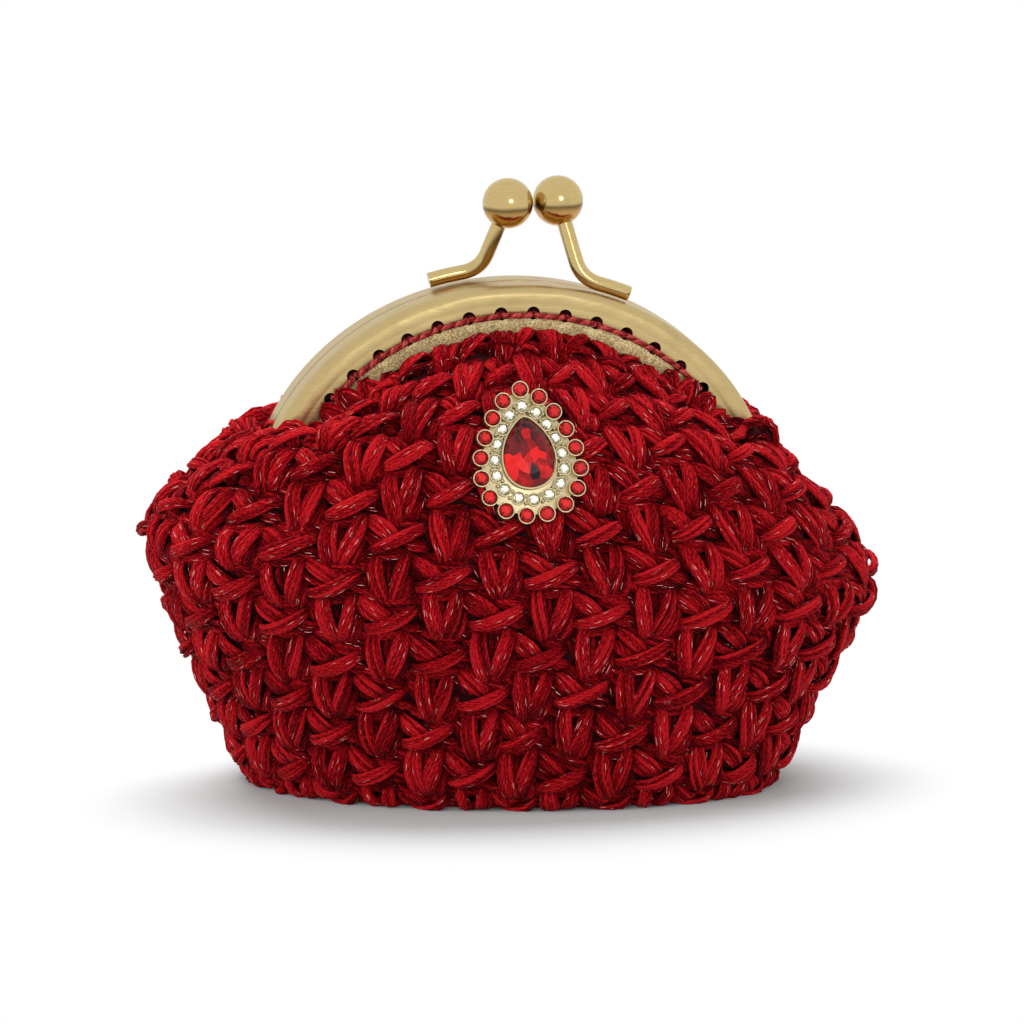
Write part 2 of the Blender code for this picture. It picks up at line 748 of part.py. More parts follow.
def inside_bag(angle, level, extra):
    """A point on the crochet's inner face, or that much further in."""
    return on_bag(angle, level) - outward(angle, level) * (crochet_wall(level) + extra)


def column_steps():
    """Angles round the bag with their bulge: 1 in the middle of a column, and 0 between two."""
    turns = [2 * math.pi * k / ARC_SAMPLES - QUARTER_TURN for k in range(ARC_SAMPLES + 1)]
    lengths = walked([on_bag(angle, BELLY_LEVEL_SHARE) for angle in turns])
    half_columns = 2 * COLUMN_COUNT
    found = []
    for k in range(half_columns):
        wanted = (FIRST_COLUMN + lengths[-1] * k / half_columns) % lengths[-1]
        index = next(i for i, length in enumerate(lengths) if length > wanted)
        share = (wanted - lengths[index - 1]) / (lengths[index] - lengths[index - 1])
        found.append((between(turns[index - 1], turns[index], share), 1 - k % 2))
    return found


def loop():
    """The steps round the bag, in order. Those next to the panels' ends are moved onto the ends."""
    steps = column_steps()
    ends = (-math.pi + PANEL_START, -PANEL_START, PANEL_START, math.pi - PANEL_START)
    for end in ends:
        wanted = (end + QUARTER_TURN) % (2 * math.pi) - QUARTER_TURN
        near = min(range(len(steps)), key=lambda k: abs(steps[k][0] - wanted))
        steps[near] = (wanted, steps[near][1])
    return sorted(steps)


def wall_heights(angle):
    """Heights at even levels up the wall, measured along the crochet from the base's edge."""
    levels = [between(1, LIP_LEVEL_SHARE, k / WALL_SAMPLES) for k in range(WALL_SAMPLES + 1)]
    return walked([on_bag(angle, level) for level in levels])


def stitched(angle, bulge, levels):
    """Points up the outside at those levels, drawn in between the stitches."""
    heights = wall_heights(angle)
    points = []
    for level in levels:
        place = (level - 1) / (LIP_LEVEL_SHARE - 1) * WALL_SAMPLES
        index = min(max(int(place), 0), WALL_SAMPLES - 1)
        height = between(heights[index], heights[index + 1], place - index)
        turns = 2 * math.pi * (height - FIRST_ROW) / ROW_HEIGHT
        stitch = bulge * (1 + math.cos(turns)) / 2
        faded = smooth(level - 1) * smooth((LIP_LEVEL_SHARE - level) / LIP_FADE_SHARE)
        recess = STITCH_RELIEF * (1 - stitch) * faded
        points.append(on_bag(angle, level) - outward(angle, level) * recess)
    return points


def pouch_level(angle):
    """The level of the pouch's top edge: high at the two sides, low in front and behind."""
    from_side = math.asin(abs(math.sin(angle)))
    share = smooth((from_side - POUCH_SIDE_ANGLE) / (POUCH_FRONT_ANGLE - POUCH_SIDE_ANGLE))
    return between(POUCH_SIDE_LEVEL_SHARE, POUCH_FRONT_LEVEL_SHARE, share)


def lifted(point, lowest):
    return Vector((point.x, point.y, max(point.z, lowest)))


def pouch(name):
    """The crochet pouch: a bowl with a flat base and stitches that bulge on its outside."""
    columns = []
    for angle, bulge in loop():
        top = pouch_level(angle)
        outside = stitched(angle, bulge, [top * k / POUCH_STEPS for k in range(POUCH_STEPS + 1)])
        inside = [inside_bag(angle, top * share, 0) for share in reversed(POUCH_INSIDE_SHARES)]
        columns.append(outside + [lifted(point, BASE_WALL) for point in inside])
    sections = [list(section) for section in zip(*columns)]
    level_floor(sections[-1], BASE_WALL)
    return loft(name, sections, YARN, PURSE)


def level_floor(section, height):
    for point in section:
        point.z = height


def lining_pouch(name):
    """A thin cloth bowl inside the crochet one."""
    bottom = BASE_WALL + SOFT_GAP
    angles = [angle for angle, _ in loop()]
    shares = POUCH_INSIDE_SHARES[1:-1]
    sections = []
    for share in shares:
        section = [inside_bag(a, share * pouch_level(a), LINING_GAP) for a in angles]
        sections.append([lifted(point, bottom) for point in section])
    level_floor(sections[0], bottom)
    for share in reversed(shares):
        section = [inside_bag(a, share * pouch_level(a), LINING_GAP + LINING) for a in angles]
        sections.append([lifted(point, bottom + LINING) for point in section])
    level_floor(sections[-1], bottom + LINING)
    return loft(name, sections, LINING_CLOTH, PURSE)


def panel_loop(steps, start, side):
    """The steps that a panel spans, on its own side of the bag."""
    reach = math.sin(start) * (1 - TANGENT_SHARE)
    found = [step for step in steps if side * math.sin(step[0]) >= reach]
    return sorted(found, key=lambda step: math.cos(step[0]))


def hem_sections(side):
    """The hem: a strip behind the plate that turns forwards under the plate's lip."""
    front = RIM_DEPTH - SHEET - SOFT_GAP
    back = front - HEM_THICKNESS
    top = HOLE_INSET - HEM_OVER_HOLES
    sections = []
    for k in range(HEM_STEPS + 1):
        angle = between(HEM_ANGLE, math.pi - HEM_ANGLE, k / HEM_STEPS)
        lip = plate_depth(angle) + SOFT_GAP
        from_hinge = math.asin(math.sin(angle))
        turned_share = smooth((from_hinge - HEM_ANGLE) / (LIP_END - HEM_ANGLE))
        foot = between(front + SOFT_GAP / 2, RIM_DEPTH + LIP_COVER / 2, turned_share)
        under = lip + LIP_DROP + HEM_THICKNESS / 2
        outline = [(top, front), (lip, front), (lip, foot), (under, foot), (under, back)]
        outline.append((top, back))
        sections.append([arch_point(angle, inward, side, depth) for inward, depth in outline])
    return sections


def panel_skin(side):
    """The outside of a panel, as a line of points up each step."""
    lines = []
    for angle, bulge in panel_loop(loop(), PANEL_START, side):
        low = pouch_level(angle) + PANEL_GAP_LEVEL_SHARE
        levels = [between(low, LIP_LEVEL_SHARE, k / PANEL_STEPS) for k in range(PANEL_STEPS + 1)]
        lines.append(stitched(angle, bulge, levels))
    return lines


def panel(name, side):
    """A crochet panel from the pouch up to the frame, with its hem sewn behind the plate."""
    clear = RIM_DEPTH + SOFT_GAP
    sections = []
    skin = panel_skin(side)
    for (angle, _), section in zip(panel_loop(loop(), PANEL_START, side), skin):
        low = pouch_level(angle) + PANEL_GAP_LEVEL_SHARE
        on_arch, reach, _ = lip_place(angle)
        section.append(arch_point(on_arch, reach, side, clear))
        section.append(arch_point(on_arch, reach + HEM_WALL, side, clear))
        for share in reversed(PANEL_INSIDE_SHARES):
            point = inside_bag(angle, between(low, LIP_LEVEL_SHARE, share), 0)
            point.y = side * max(abs(point.y), clear)
            section.append(point)
        sections.append(section)
    made = loft(name, sections, YARN, PURSE)
    combine(made, loft(f"{name}_hem", hem_sections(side), YARN, CUTTERS), "UNION")
    shallow = RIM_DEPTH - SHEET - SOFT_GAP - HEM_THICKNESS - CUT_OVERRUN
    deep = RIM_DEPTH - SHEET / 2
    holes = hole_cutter(f"{name}_holes", side, HOLE_RADIUS, HEM_HOLE_SIDES, shallow, deep)
    combine(made, holes, "DIFFERENCE")
    return made


def lining_panel(name, side):
    """The lining behind a crochet panel."""
    sections = []
    for angle, _ in panel_loop(loop(), LINING_START, side):
        low = pouch_level(angle) + PANEL_GAP_LEVEL_SHARE
        levels = [between(low, LIP_LEVEL_SHARE, share) for share in LINING_SHARES]
        section = [inside_bag(angle, level, LINING_GAP) for level in levels]
        section += [inside_bag(angle, level, LINING_GAP + LINING) for level in reversed(levels)]
        sections.append(section)
    return loft(name, sections, LINING_CLOTH, PURSE)


# The brooch


def brooch_seat():
    """An empty on the front panel: its X runs right, its Y up the panel and its Z outwards."""
    low = BELLY_LEVEL_SHARE
    high = LIP_LEVEL_SHARE
    front = -QUARTER_TURN
    for _ in range(ARC_SAMPLES):
        middle = (low + high) / 2
        if on_bag(front, middle).z < BROOCH_HEIGHT:
            low = middle
        else:
            high = middle
    right = Vector((1, 0, 0))
    away = bag_normal(front, low)
    away.x = 0
    away = Matrix.Rotation(BROOCH_TILT, 3, "X") @ away.normalized()
    up = away.cross(right)
    turn = Matrix((right, up, away)).transposed().to_4x4()
    lean = Matrix.Rotation(BROOCH_LEAN, 4, "Z")
    middle = on_bag(front, low) + right * BROOCH_OFFSET
    place = middle + away * brooch_lift(middle, away)
    seat = bpy.data.objects.new("brooch_seat", None)
    PURSE.objects.link(seat)
    seat.matrix_world = Matrix.Translation(place) @ turn @ lean
    return seat


def brooch_lift(middle, away):
    """How far the flat back stands off the panel's curve so that it clears the stitches all over."""
    reach = RED_RING_HALF_HEIGHT + RED_RADIUS + CUP_WALL
    highest = []
    for section in panel_skin(-1):
        near = [point - middle for point in section if (point - middle).length <= reach]
        highest += [step.dot(away) for step in near]
    return max(highest) + SEAT_GAP


def egg(angle, half_width, half_height, share):
    """A point on an egg outline that is narrower at the top."""
    across = half_width * math.cos(angle) * (1 - share * math.sin(angle))
    return Vector((across, half_height * math.sin(angle), 0))


def spaced(count, half_width, half_height, share):
    """Points round an egg outline at equal steps along it, the first one at the top."""
    angles = [QUARTER_TURN + 2 * math.pi * k / ARC_SAMPLES for k in range(ARC_SAMPLES + 1)]
    points = [egg(angle, half_width, half_height, share) for angle in angles]
    lengths = walked(points)
    found = []
    for k in range(count):
        wanted = lengths[-1] * k / count
        index = next(i for i, length in enumerate(lengths) if length >= wanted)
        found.append(points[index])
    return found


def egg_section(half_width, half_height, share, height, sides):
    angles = [2 * math.pi * k / sides for k in range(sides)]
    points = [egg(angle, half_width, half_height, share) for angle in angles]
    return [point + Vector((0, 0, height)) for point in points]


def setting(name, seat):
    """The metal back: an egg-shaped plate with a cup for each stone."""
    sides = 2 * RED_COUNT
    shape = (RED_RING_HALF_WIDTH, RED_RING_HALF_HEIGHT, EGG_SHARE)
    edge = PLATE_THICKNESS / 4
    outline = (shape[0] + RED_RADIUS / 2, shape[1] + RED_RADIUS / 2, EGG_SHARE)
    inner = (outline[0] - edge, outline[1] - edge, EGG_SHARE)
    sections = [
        egg_section(*inner, 0, sides),
        egg_section(*outline, edge, sides),
        egg_section(*outline, PLATE_THICKNESS - edge, sides),
        egg_section(*inner, PLATE_THICKNESS, sides),
    ]
    made = loft(name, sections, GOLD, PURSE)
    made.parent = seat
    floor = PLATE_THICKNESS / 2
    top = PLATE_THICKNESS + CUP_HEIGHT
    red = [(point, RED_RADIUS) for point in spaced(RED_COUNT, *shape)]
    ring = (CLEAR_RING_HALF_WIDTH, CLEAR_RING_HALF_HEIGHT, EGG_SHARE)
    clear = [(point, CLEAR_RADIUS) for point in spaced(CLEAR_COUNT, *ring)]
    red_cups = cup_set(f"{name}_red_cups", red, STONE_CLEARANCE + CUP_WALL, edge, top)
    clear_cups = cup_set(f"{name}_clear_cups", clear, STONE_CLEARANCE + CUP_WALL, edge, top)
    pockets = cup_set(f"{name}_pockets", red + clear, STONE_CLEARANCE, floor, top + CUT_OVERRUN)
    gem_space = loft(
        f"{name}_gem_pocket",
        [
            egg_section(
                GEM_HALF_WIDTH + STONE_CLEARANCE,
                GEM_HALF_HEIGHT + STONE_CLEARANCE,
                PEAR_SHARE,
                height,
                GEM_SIDES,
            )
            for height in (floor, top + CUT_OVERRUN)
        ],
        GOLD,
        CUTTERS,
    )
    for tool, operation in (
        (red_cups, "UNION"),
        (clear_cups, "UNION"),
        (pockets, "DIFFERENCE"),
        (gem_space, "DIFFERENCE"),
    ):
        tool.parent = seat
        combine(made, tool, operation)
    return made


def cup_set(name, spots, extra, low, high):
    """Upright prisms at the stones' places, each its stone's radius and that much more."""
    turn = Matrix.Rotation(QUARTER_TURN, 4, "Z")
    shaped = bmesh.new()
    for point, radius in spots:
        middle = point + Vector((0, 0, (low + high) / 2))
        bmesh.ops.create_cone(
            shaped,
            cap_ends=True,
            segments=CUP_SIDES,
            radius1=radius + extra,
            radius2=radius + extra,
            depth=high - low,
            matrix=Matrix.Translation(middle) @ turn,
        )
    mesh = bpy.data.meshes.new(name)
    shaped.to_mesh(mesh)
    shaped.free()
    return add(name, mesh, GOLD, CUTTERS)


def stones(prefix, count, half_width, half_height, radius, material, seat):
    """A ring of equal cut stones: a girdle with a faceted crown and a flat table."""
    girdle = radius * 2 * STONE_GIRDLE_SHARE
    crown = radius * STONE_CROWN_SHARE
    profile = [
        (0, girdle + crown),
        (radius * STONE_TABLE_SHARE, girdle + crown),
        (radius, girdle),
        (radius, 0),
        (0, 0),
    ]
    first = None
    for k, point in enumerate(spaced(count, half_width, half_height, EGG_SHARE), start=1):
        name = f"{prefix}_{k:02d}"
        if first is None:
            first = turned(name, profile, CUP_SIDES, material, PURSE)
            made = first
        else:
            made = first.copy()
            made.name = name
            PURSE.objects.link(made)
        made.parent = seat
        made.location = point + Vector((0, 0, PLATE_THICKNESS / 2 + STONE_CLEARANCE))


def gem(name, seat):
    """The tear-shaped stone: a straight girdle, a sloping crown and a flat table."""
    low = PLATE_THICKNESS / 2 + STONE_CLEARANCE
    girdle = low + PLATE_THICKNESS / 2 + GEM_GIRDLE
    table = (GEM_HALF_WIDTH * GEM_TABLE_SHARE, GEM_HALF_HEIGHT * GEM_TABLE_SHARE)
    sections = [
        egg_section(GEM_HALF_WIDTH, GEM_HALF_HEIGHT, PEAR_SHARE, low, GEM_SIDES),
        egg_section(GEM_HALF_WIDTH, GEM_HALF_HEIGHT, PEAR_SHARE, girdle, GEM_SIDES),
        egg_section(*table, PEAR_SHARE, girdle + GEM_CROWN, GEM_SIDES),
    ]
    made = loft(name, sections, RED_GLASS, PURSE)
    made.parent = seat
    return made


def build():
    frame_half("front_frame", -1, FRONT_EAR_MIDDLE)
    frame_half("rear_frame", 1, REAR_EAR_MIDDLE)
    rivet("right_rivet", 1)
    rivet("left_rivet", -1)
    stem("front_stem", 1, -1, FRONT_BEND_REACH, FRONT_FOOT_REACH)
    ball("front_ball", 1, -1, FRONT_BEND_REACH)
    stem("rear_stem", -1, 1, REAR_BEND_REACH, REAR_FOOT_REACH)
    ball("rear_ball", -1, 1, REAR_BEND_REACH)
    thread("front_thread", -1)
    thread("rear_thread", 1)
    pouch("crochet_pouch")
    panel("crochet_front", -1)
    panel("crochet_rear", 1)
    lining_pouch("lining_pouch")
    lining_panel("lining_front", -1)
    lining_panel("lining_rear", 1)
    seat = brooch_seat()
    setting("brooch_setting", seat)
    gem("teardrop_gem", seat)
    red = (RED_COUNT, RED_RING_HALF_WIDTH, RED_RING_HALF_HEIGHT, RED_RADIUS)
    stones("red_stone", *red, RED_GLASS, seat)
    clear = (CLEAR_COUNT, CLEAR_RING_HALF_WIDTH, CLEAR_RING_HALF_HEIGHT, CLEAR_RADIUS)
    stones("clear_stone", *clear, CLEAR_GLASS, seat)


build()
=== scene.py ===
# %% [markdown]
# # A crochet coin purse with a kiss-lock frame
#
# This lesson dresses a finished CAD model of a small crochet coin purse. The model is loaded as
# a fixed frame, and each soft or shiny piece is then made over it, in the same metres and axes:
# X runs along the purse, the brooch faces -Y, Z is up, and the middle of the base is the origin.

# %% Load the purse
import math

import bpy
import numpy as np
from mathutils import Matrix, Vector


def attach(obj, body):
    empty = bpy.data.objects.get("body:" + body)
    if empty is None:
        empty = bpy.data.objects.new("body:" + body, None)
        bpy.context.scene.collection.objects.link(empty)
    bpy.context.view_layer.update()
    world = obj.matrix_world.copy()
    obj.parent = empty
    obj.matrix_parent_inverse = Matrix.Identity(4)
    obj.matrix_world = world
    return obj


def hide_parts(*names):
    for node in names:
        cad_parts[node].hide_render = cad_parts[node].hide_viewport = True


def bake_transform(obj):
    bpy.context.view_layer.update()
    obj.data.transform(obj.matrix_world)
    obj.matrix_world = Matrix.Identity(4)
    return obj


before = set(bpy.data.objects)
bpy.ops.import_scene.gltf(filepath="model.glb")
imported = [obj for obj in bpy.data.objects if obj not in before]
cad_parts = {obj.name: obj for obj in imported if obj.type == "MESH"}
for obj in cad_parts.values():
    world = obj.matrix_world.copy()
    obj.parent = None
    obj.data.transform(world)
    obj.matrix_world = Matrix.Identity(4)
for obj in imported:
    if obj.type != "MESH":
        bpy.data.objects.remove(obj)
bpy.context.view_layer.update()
MM = 0.001
RANDOM = np.random.default_rng(7)

# %% [markdown]
# ## The shape of the bag
#
# The bag is a stack of rounded ovals: a twisted base, a wide belly that slants a little, shoulders,
# and a lip that follows the metal arch. A smooth curve runs through the ovals at every angle round
# the bag. All the yarn is laid on this one surface, so the numbers are those of the CAD model.

# %% Sizes of the arch and the bag, in millimetres
ARCH_HALF_WIDTH = 43.6
ARCH_HEIGHT = 38.6
HINGE_HEIGHT = 46.4
SHEET = 0.8
RIM_DEPTH = 6.5
PLATE_DEPTH = 8.1
PLATE_END_DEPTH = 4.5
PLATE_FULL_ANGLE = math.radians(32)
HOLE_INSET = 4.5
HOLE_PITCH = 5.4
HOLE_COUNT = 14
HOLE_RADIUS = 1.1
LIP_DROP = 0.8
LIP_COVER = 3.0
LIP_START = math.radians(21)
LIP_END = math.radians(34)
# The hem turns in under the lip, and then rises behind the plate
HEM_DROP = 1.4
HEM_RISE = 3.0
HEM_DEPTHS = (4.2, 3.6)
# Half width and half depth, then the belly's height, and the shoulder's at the sides and in front
BASE = (45.6, 25.4)
BELLY = (61.8, 30.8, 38.5)
SHOULDER = (49.2, 22.4, 53.6, 63.4)
BASE_TWIST = math.radians(-11)
BASE_ROUND = 3.0
BASE_ROUND_HEIGHT = 1.6
BELLY_SLANT = 6.0
SHOULDER_SLANT = 3.0
# Exponents of the rounded ovals
BASE_OVAL = 0.96
BELLY_OVAL = 0.87
# Rings between base and belly, as shares of the way: in width, in depth, in height, then the twist
LOWER_RINGS = ((0.14, 0.25, 0.16, 1), (0.39, 0.55, 0.4, 0.7), (0.74, 0.82, 0.7, 0.3))
# The ring between belly and shoulder: in width, in depth, in height at the sides and in front
UPPER_RING = (0.37, 0.25, 0.62, 0.37)
print(f"arch {2 * ARCH_HALF_WIDTH:.1f} mm wide, belly {2 * BELLY[0]:.1f} x {2 * BELLY[1]:.1f} mm")


# %% Helpers for shapes
def smooth(x):
    x = np.clip(x, 0, 1)
    return x * x * (3 - 2 * x)


def mix(a, b, t):
    return a + (b - a) * t


def unit(vectors, least=1e-9):
    """The vectors at length one. Those shorter than the least length stay short."""
    return vectors / np.maximum(np.linalg.norm(vectors, axis=-1, keepdims=True), least)


def walk(path):
    """The way walked from the path's start to each of its points."""
    return np.concatenate([[0], np.cumsum(np.linalg.norm(np.diff(path, axis=0), axis=1))])


# %% Points on the arch and on the ovals
def plate_depth(angle):
    from_hinge = np.minimum(angle, np.pi - angle)
    return mix(PLATE_END_DEPTH, PLATE_DEPTH, smooth(from_hinge / PLATE_FULL_ANGLE))


def arch_point(angle, inward, depth):
    """A place on the arch: inward from its outside, and in front (negative) or behind the seam."""
    angle, inward, depth = np.broadcast_arrays(angle, inward, depth)
    nx, nz = np.cos(angle) / ARCH_HALF_WIDTH, np.sin(angle) / ARCH_HEIGHT
    size = np.hypot(nx, nz)
    x = ARCH_HALF_WIDTH * np.cos(angle) - nx / size * inward
    z = HINGE_HEIGHT + ARCH_HEIGHT * np.sin(angle) - nz / size * inward
    return np.stack([x, depth, z], -1)


def oval(angle, wide, deep, side, front, slant, share, twist):
    """A ring of the bag. Side and front are its heights there, and slant lowers its right end."""
    across = np.sign(np.cos(angle)) * np.abs(np.cos(angle)) ** share * wide
    depth = np.sign(np.sin(angle)) * np.abs(np.sin(angle)) ** share * deep
    z = mix(side, front, np.abs(np.sin(angle))) - slant * np.cos(angle)
    c, s = np.cos(twist), np.sin(twist)
    return np.stack([across * c - depth * s, across * s + depth * c, z], -1)


def lip_place(angle):
    from_side = np.arcsin(np.abs(np.sin(angle)))
    on_arch = np.maximum(from_side, LIP_START)
    on_arch = np.where(np.cos(angle) < 0, np.pi - on_arch, on_arch)
    crossed = smooth((from_side - LIP_START) / (LIP_END - LIP_START))
    reach = mix(-LIP_DROP, plate_depth(on_arch) + LIP_DROP, crossed)
    return on_arch, reach, (RIM_DEPTH + LIP_COVER) * smooth(from_side / LIP_START)


# %% The stack of ovals, from the middle of the sole to the hem behind the plate
FIRST_WALL, BELLY_RING, LIP_RING, LAST_RING = 3, 7, 10, 12


def bag_rings(angle):
    side = np.sign(np.sin(angle))
    rings = [
        oval(angle, BASE[0] * 0.35, BASE[1] * 0.12, 0, 0, 0, 1, BASE_TWIST),
        oval(angle, BASE[0] * 0.7, BASE[1] * 0.6, 0, 0, 0, 1, BASE_TWIST),
        oval(angle, BASE[0] - BASE_ROUND, BASE[1] - BASE_ROUND, 0, 0, 0, BASE_OVAL, BASE_TWIST),
        oval(angle, *BASE, BASE_ROUND_HEIGHT, BASE_ROUND_HEIGHT, 0, BASE_OVAL, BASE_TWIST),
    ]
    for wide, deep, high, turn in LOWER_RINGS:
        size = mix(BASE[0], BELLY[0], wide), mix(BASE[1], BELLY[1], deep)
        z = BELLY[2] * high
        share = mix(BASE_OVAL, BELLY_OVAL, wide)
        rings.append(oval(angle, *size, z, z, BELLY_SLANT * high * high, share, BASE_TWIST * turn))
    rings.append(oval(angle, *BELLY, BELLY[2], BELLY_SLANT, BELLY_OVAL, 0))
    wide, deep, side_high, front_high = UPPER_RING
    size = mix(BELLY[0], SHOULDER[0], wide), mix(BELLY[1], SHOULDER[1], deep)
    z = mix(BELLY[2], SHOULDER[2], side_high), mix(BELLY[2], SHOULDER[3], front_high)
    rings.append(oval(angle, *size, *z, mix(BELLY_SLANT, SHOULDER_SLANT, side_high), BELLY_OVAL, 0))
    rings.append(oval(angle, *SHOULDER, SHOULDER_SLANT, BELLY_OVAL, 0))
    on_arch, reach, depth = lip_place(angle)
    rings.append(arch_point(on_arch, reach, side * depth))
    under = np.maximum(plate_depth(on_arch), reach) + HEM_DROP
    rings.append(arch_point(on_arch, under, side * np.minimum(depth, HEM_DEPTHS[0])))
    rings.append(arch_point(on_arch, under - HEM_RISE, side * np.minimum(depth, HEM_DEPTHS[1])))
    return np.stack(rings)


print("rings:", len(bag_rings(np.zeros(1))))


def column_angle(angle, level):
    """Keeps the columns of stitches apart as the bag narrows to its base; they crowd at the sides."""
    spread = (BELLY[0] / BASE[0] - 1) * smooth((BELLY_RING - level) / (BELLY_RING - FIRST_WALL))
    return angle - spread / 2 * np.sin(2 * angle)


def bag_point(angle, level):
    """A point on a smooth curve through the rings, for arrays of angles and levels."""
    rings = bag_rings(angle)
    below = np.clip(level.astype(int), 0, LAST_RING - 1)
    t = (level - below)[..., None]
    a, b, c, d = (
        np.take_along_axis(rings, np.clip(below + k, 0, LAST_RING)[None, ..., None], 0)[0]
        for k in (-1, 0, 1, 2)
    )
    m, n = (c - a) / 2, (d - b) / 2
    return (
        b * (2 * t**3 - 3 * t**2 + 1)
        + m * (t**3 - 2 * t**2 + t)
        + c * (3 * t**2 - 2 * t**3)
        + n * (t**3 - t**2)
    )


# %% A table of the surface: columns round the bag, and millimetres up from its base edge
COLUMNS = 34
TURN = 512
STEP = 0.4
UP_STEPS = 300
SOLE_STEPS = 60
LEVEL_STEPS = 100
FINE = 4001


def surface_table():
    """Points by (share round the bag, way up its wall), the way up to the lip, and the girth."""
    fine = np.linspace(0, 2 * np.pi, FINE) - np.pi / 2
    walked = walk(bag_point(fine, np.full(fine.shape, float(BELLY_RING))))
    angles = np.interp(np.arange(TURN) / TURN * walked[-1], walked, fine)
    levels = np.linspace(0, LAST_RING, LAST_RING * LEVEL_STEPS + 1)
    levels = np.repeat(levels[None], TURN, 0)
    points = bag_point(column_angle(angles[:, None], levels), levels)
    along = np.linalg.norm(np.diff(points, axis=1), axis=2)
    along = np.concatenate([np.zeros((TURN, 1)), np.cumsum(along, axis=1)], axis=1)
    start = along[:, FIRST_WALL * LEVEL_STEPS]
    lip = along[:, LIP_RING * LEVEL_STEPS] - start
    wanted = (np.arange(UP_STEPS) - SOLE_STEPS) * STEP
    table = np.empty((TURN, UP_STEPS, 3))
    for k in range(TURN):
        for axis in range(3):
            table[k, :, axis] = np.interp(wanted, along[k] - start[k], points[k, :, axis])
    return table, lip, walked[-1]


def table_normals(table):
    around = np.roll(table, -3, 0) - np.roll(table, 3, 0)
    return unit(np.cross(around, np.gradient(table, axis=1)))


TABLE, LIP_AT, GIRTH = surface_table()
NORMALS = table_normals(TABLE)
print(f"girth {GIRTH:.0f} mm, column {GIRTH / COLUMNS:.2f} mm, wall {LIP_AT.min():.0f}-{LIP_AT.max():.0f} mm")


# %% Reading the table between its entries
def look_up(table, share, up):
    """Share runs once round the bag from the front's middle, and up in millimetres."""
    x = np.mod(share, 1) * TURN
    y = np.clip(up / STEP + SOLE_STEPS, 0, UP_STEPS - 1.001)
    i, j = x.astype(int), y.astype(int)
    fx, fy = (x - i)[..., None], (y - j)[..., None]
    i, k = i % TURN, (i + 1) % TURN
    low = table[i, j] * (1 - fx) + table[k, j] * fx
    high = table[i, j + 1] * (1 - fx) + table[k, j + 1] * fx
    return low * (1 - fy) + high * fy


def lip_height(share):
    x = np.mod(share, 1) * TURN
    i = x.astype(int)
    return LIP_AT[i % TURN] * (1 - (x - i)) + LIP_AT[(i + 1) % TURN] * (x - i)


# %% [markdown]
# ## The yarn
#
# Thick crochet yarn is a bundle of thin plied strands. A drawn texture looks flat at this scale, so
# each strand is a real tube: a path of nine points with a ring of six faces round it. Three to six
# strands that run side by side, swell in the middle and twist a little make one visible bundle.

# %% New objects
def add_object(name, data):
    made = bpy.data.objects.new(name, data)
    bpy.context.scene.collection.objects.link(made)
    return made


def add_mesh(name, points, faces):
    """A mesh object from points in millimetres, strip by strip or ring by ring."""
    mesh = bpy.data.meshes.new(name)
    mesh.from_pydata((np.asarray(points).reshape(-1, 3) * MM).tolist(), [], faces)
    return add_object(name, mesh)


# %% Tubes along many paths at once
RING = 6
# Along a strand the UV map counts centimetres, and its tone moves it far along the pattern
UV_SCALE = 0.1
UV_SHIFT = 97


def tube_faces(count, steps):
    """Quads along each tube, and its two caps, as indices of the ring points."""
    base = np.arange(count * (steps - 1))
    base = (base // (steps - 1) * steps + base % (steps - 1)) * RING
    k = np.arange(RING)
    after = (k + 1) % RING
    quads = np.stack([k, k + RING, after + RING, after], -1)
    quads = (base[:, None, None] + quads[None]).reshape(-1, 4)
    first = (np.arange(count) * steps * RING)[:, None] + k[None]
    last = first + (steps - 1) * RING
    return quads, np.concatenate([first, last[:, ::-1]])


def write_uv(mesh, paths, tones, loops, quad_count):
    """U runs once round the strand, and V along it."""
    count, steps = paths.shape[:2]
    gaps = np.linalg.norm(np.diff(paths, axis=1), axis=2)
    length = np.concatenate([np.zeros((count, 1)), np.cumsum(gaps, axis=1)], 1)
    length += tones.mean(1, keepdims=True) * UV_SHIFT
    v_at = np.repeat(length.reshape(-1), RING) * UV_SCALE
    u_at = np.tile(np.arange(RING) / RING, count * steps)
    uv = np.stack([u_at[loops], v_at[loops]], -1)
    wrap = np.zeros(len(loops), bool)
    wrap[: quad_count * 4].reshape(-1, RING, 4)[:, RING - 1, 2:] = True
    uv[wrap, 0] = 1
    mesh.uv_layers.new(name="yarn").data.foreach_set("uv", uv.astype(np.float32).ravel())


def strands_mesh(name, paths, normals, radii, tones):
    """One mesh of tubes. Paths are strands x points x 3, in millimetres."""
    count, steps = paths.shape[:2]
    along = unit(np.gradient(paths, axis=1))
    side = unit(np.cross(along, normals))
    up = np.cross(side, along)
    angle = np.arange(RING) * 2 * np.pi / RING
    ring = side[:, :, None] * np.cos(angle)[:, None] + up[:, :, None] * np.sin(angle)[:, None]
    points = (paths[:, :, None] + ring * radii[:, :, None, None]).reshape(-1, 3) * MM
    quads, caps = tube_faces(count, steps)
    loops = np.concatenate([quads.ravel(), caps.ravel()])
    starts = np.concatenate([np.arange(len(quads)) * 4, len(quads) * 4 + np.arange(len(caps)) * RING])
    mesh = bpy.data.meshes.new(name)
    mesh.vertices.add(len(points))
    mesh.vertices.foreach_set("co", points.ravel())
    mesh.loops.add(len(loops))
    mesh.loops.foreach_set("vertex_index", loops)
    mesh.polygons.add(len(starts))
    mesh.polygons.foreach_set("loop_start", starts)
    mesh.update(calc_edges=True)
    write_uv(mesh, paths, tones, loops, len(quads))
    tone = mesh.attributes.new("tone", "FLOAT", "POINT")
    tone.data.foreach_set("value", np.repeat(tones.ravel(), RING).astype(np.float32))
    mesh.validate()
    mesh.shade_smooth()
    return add_object(name, mesh)


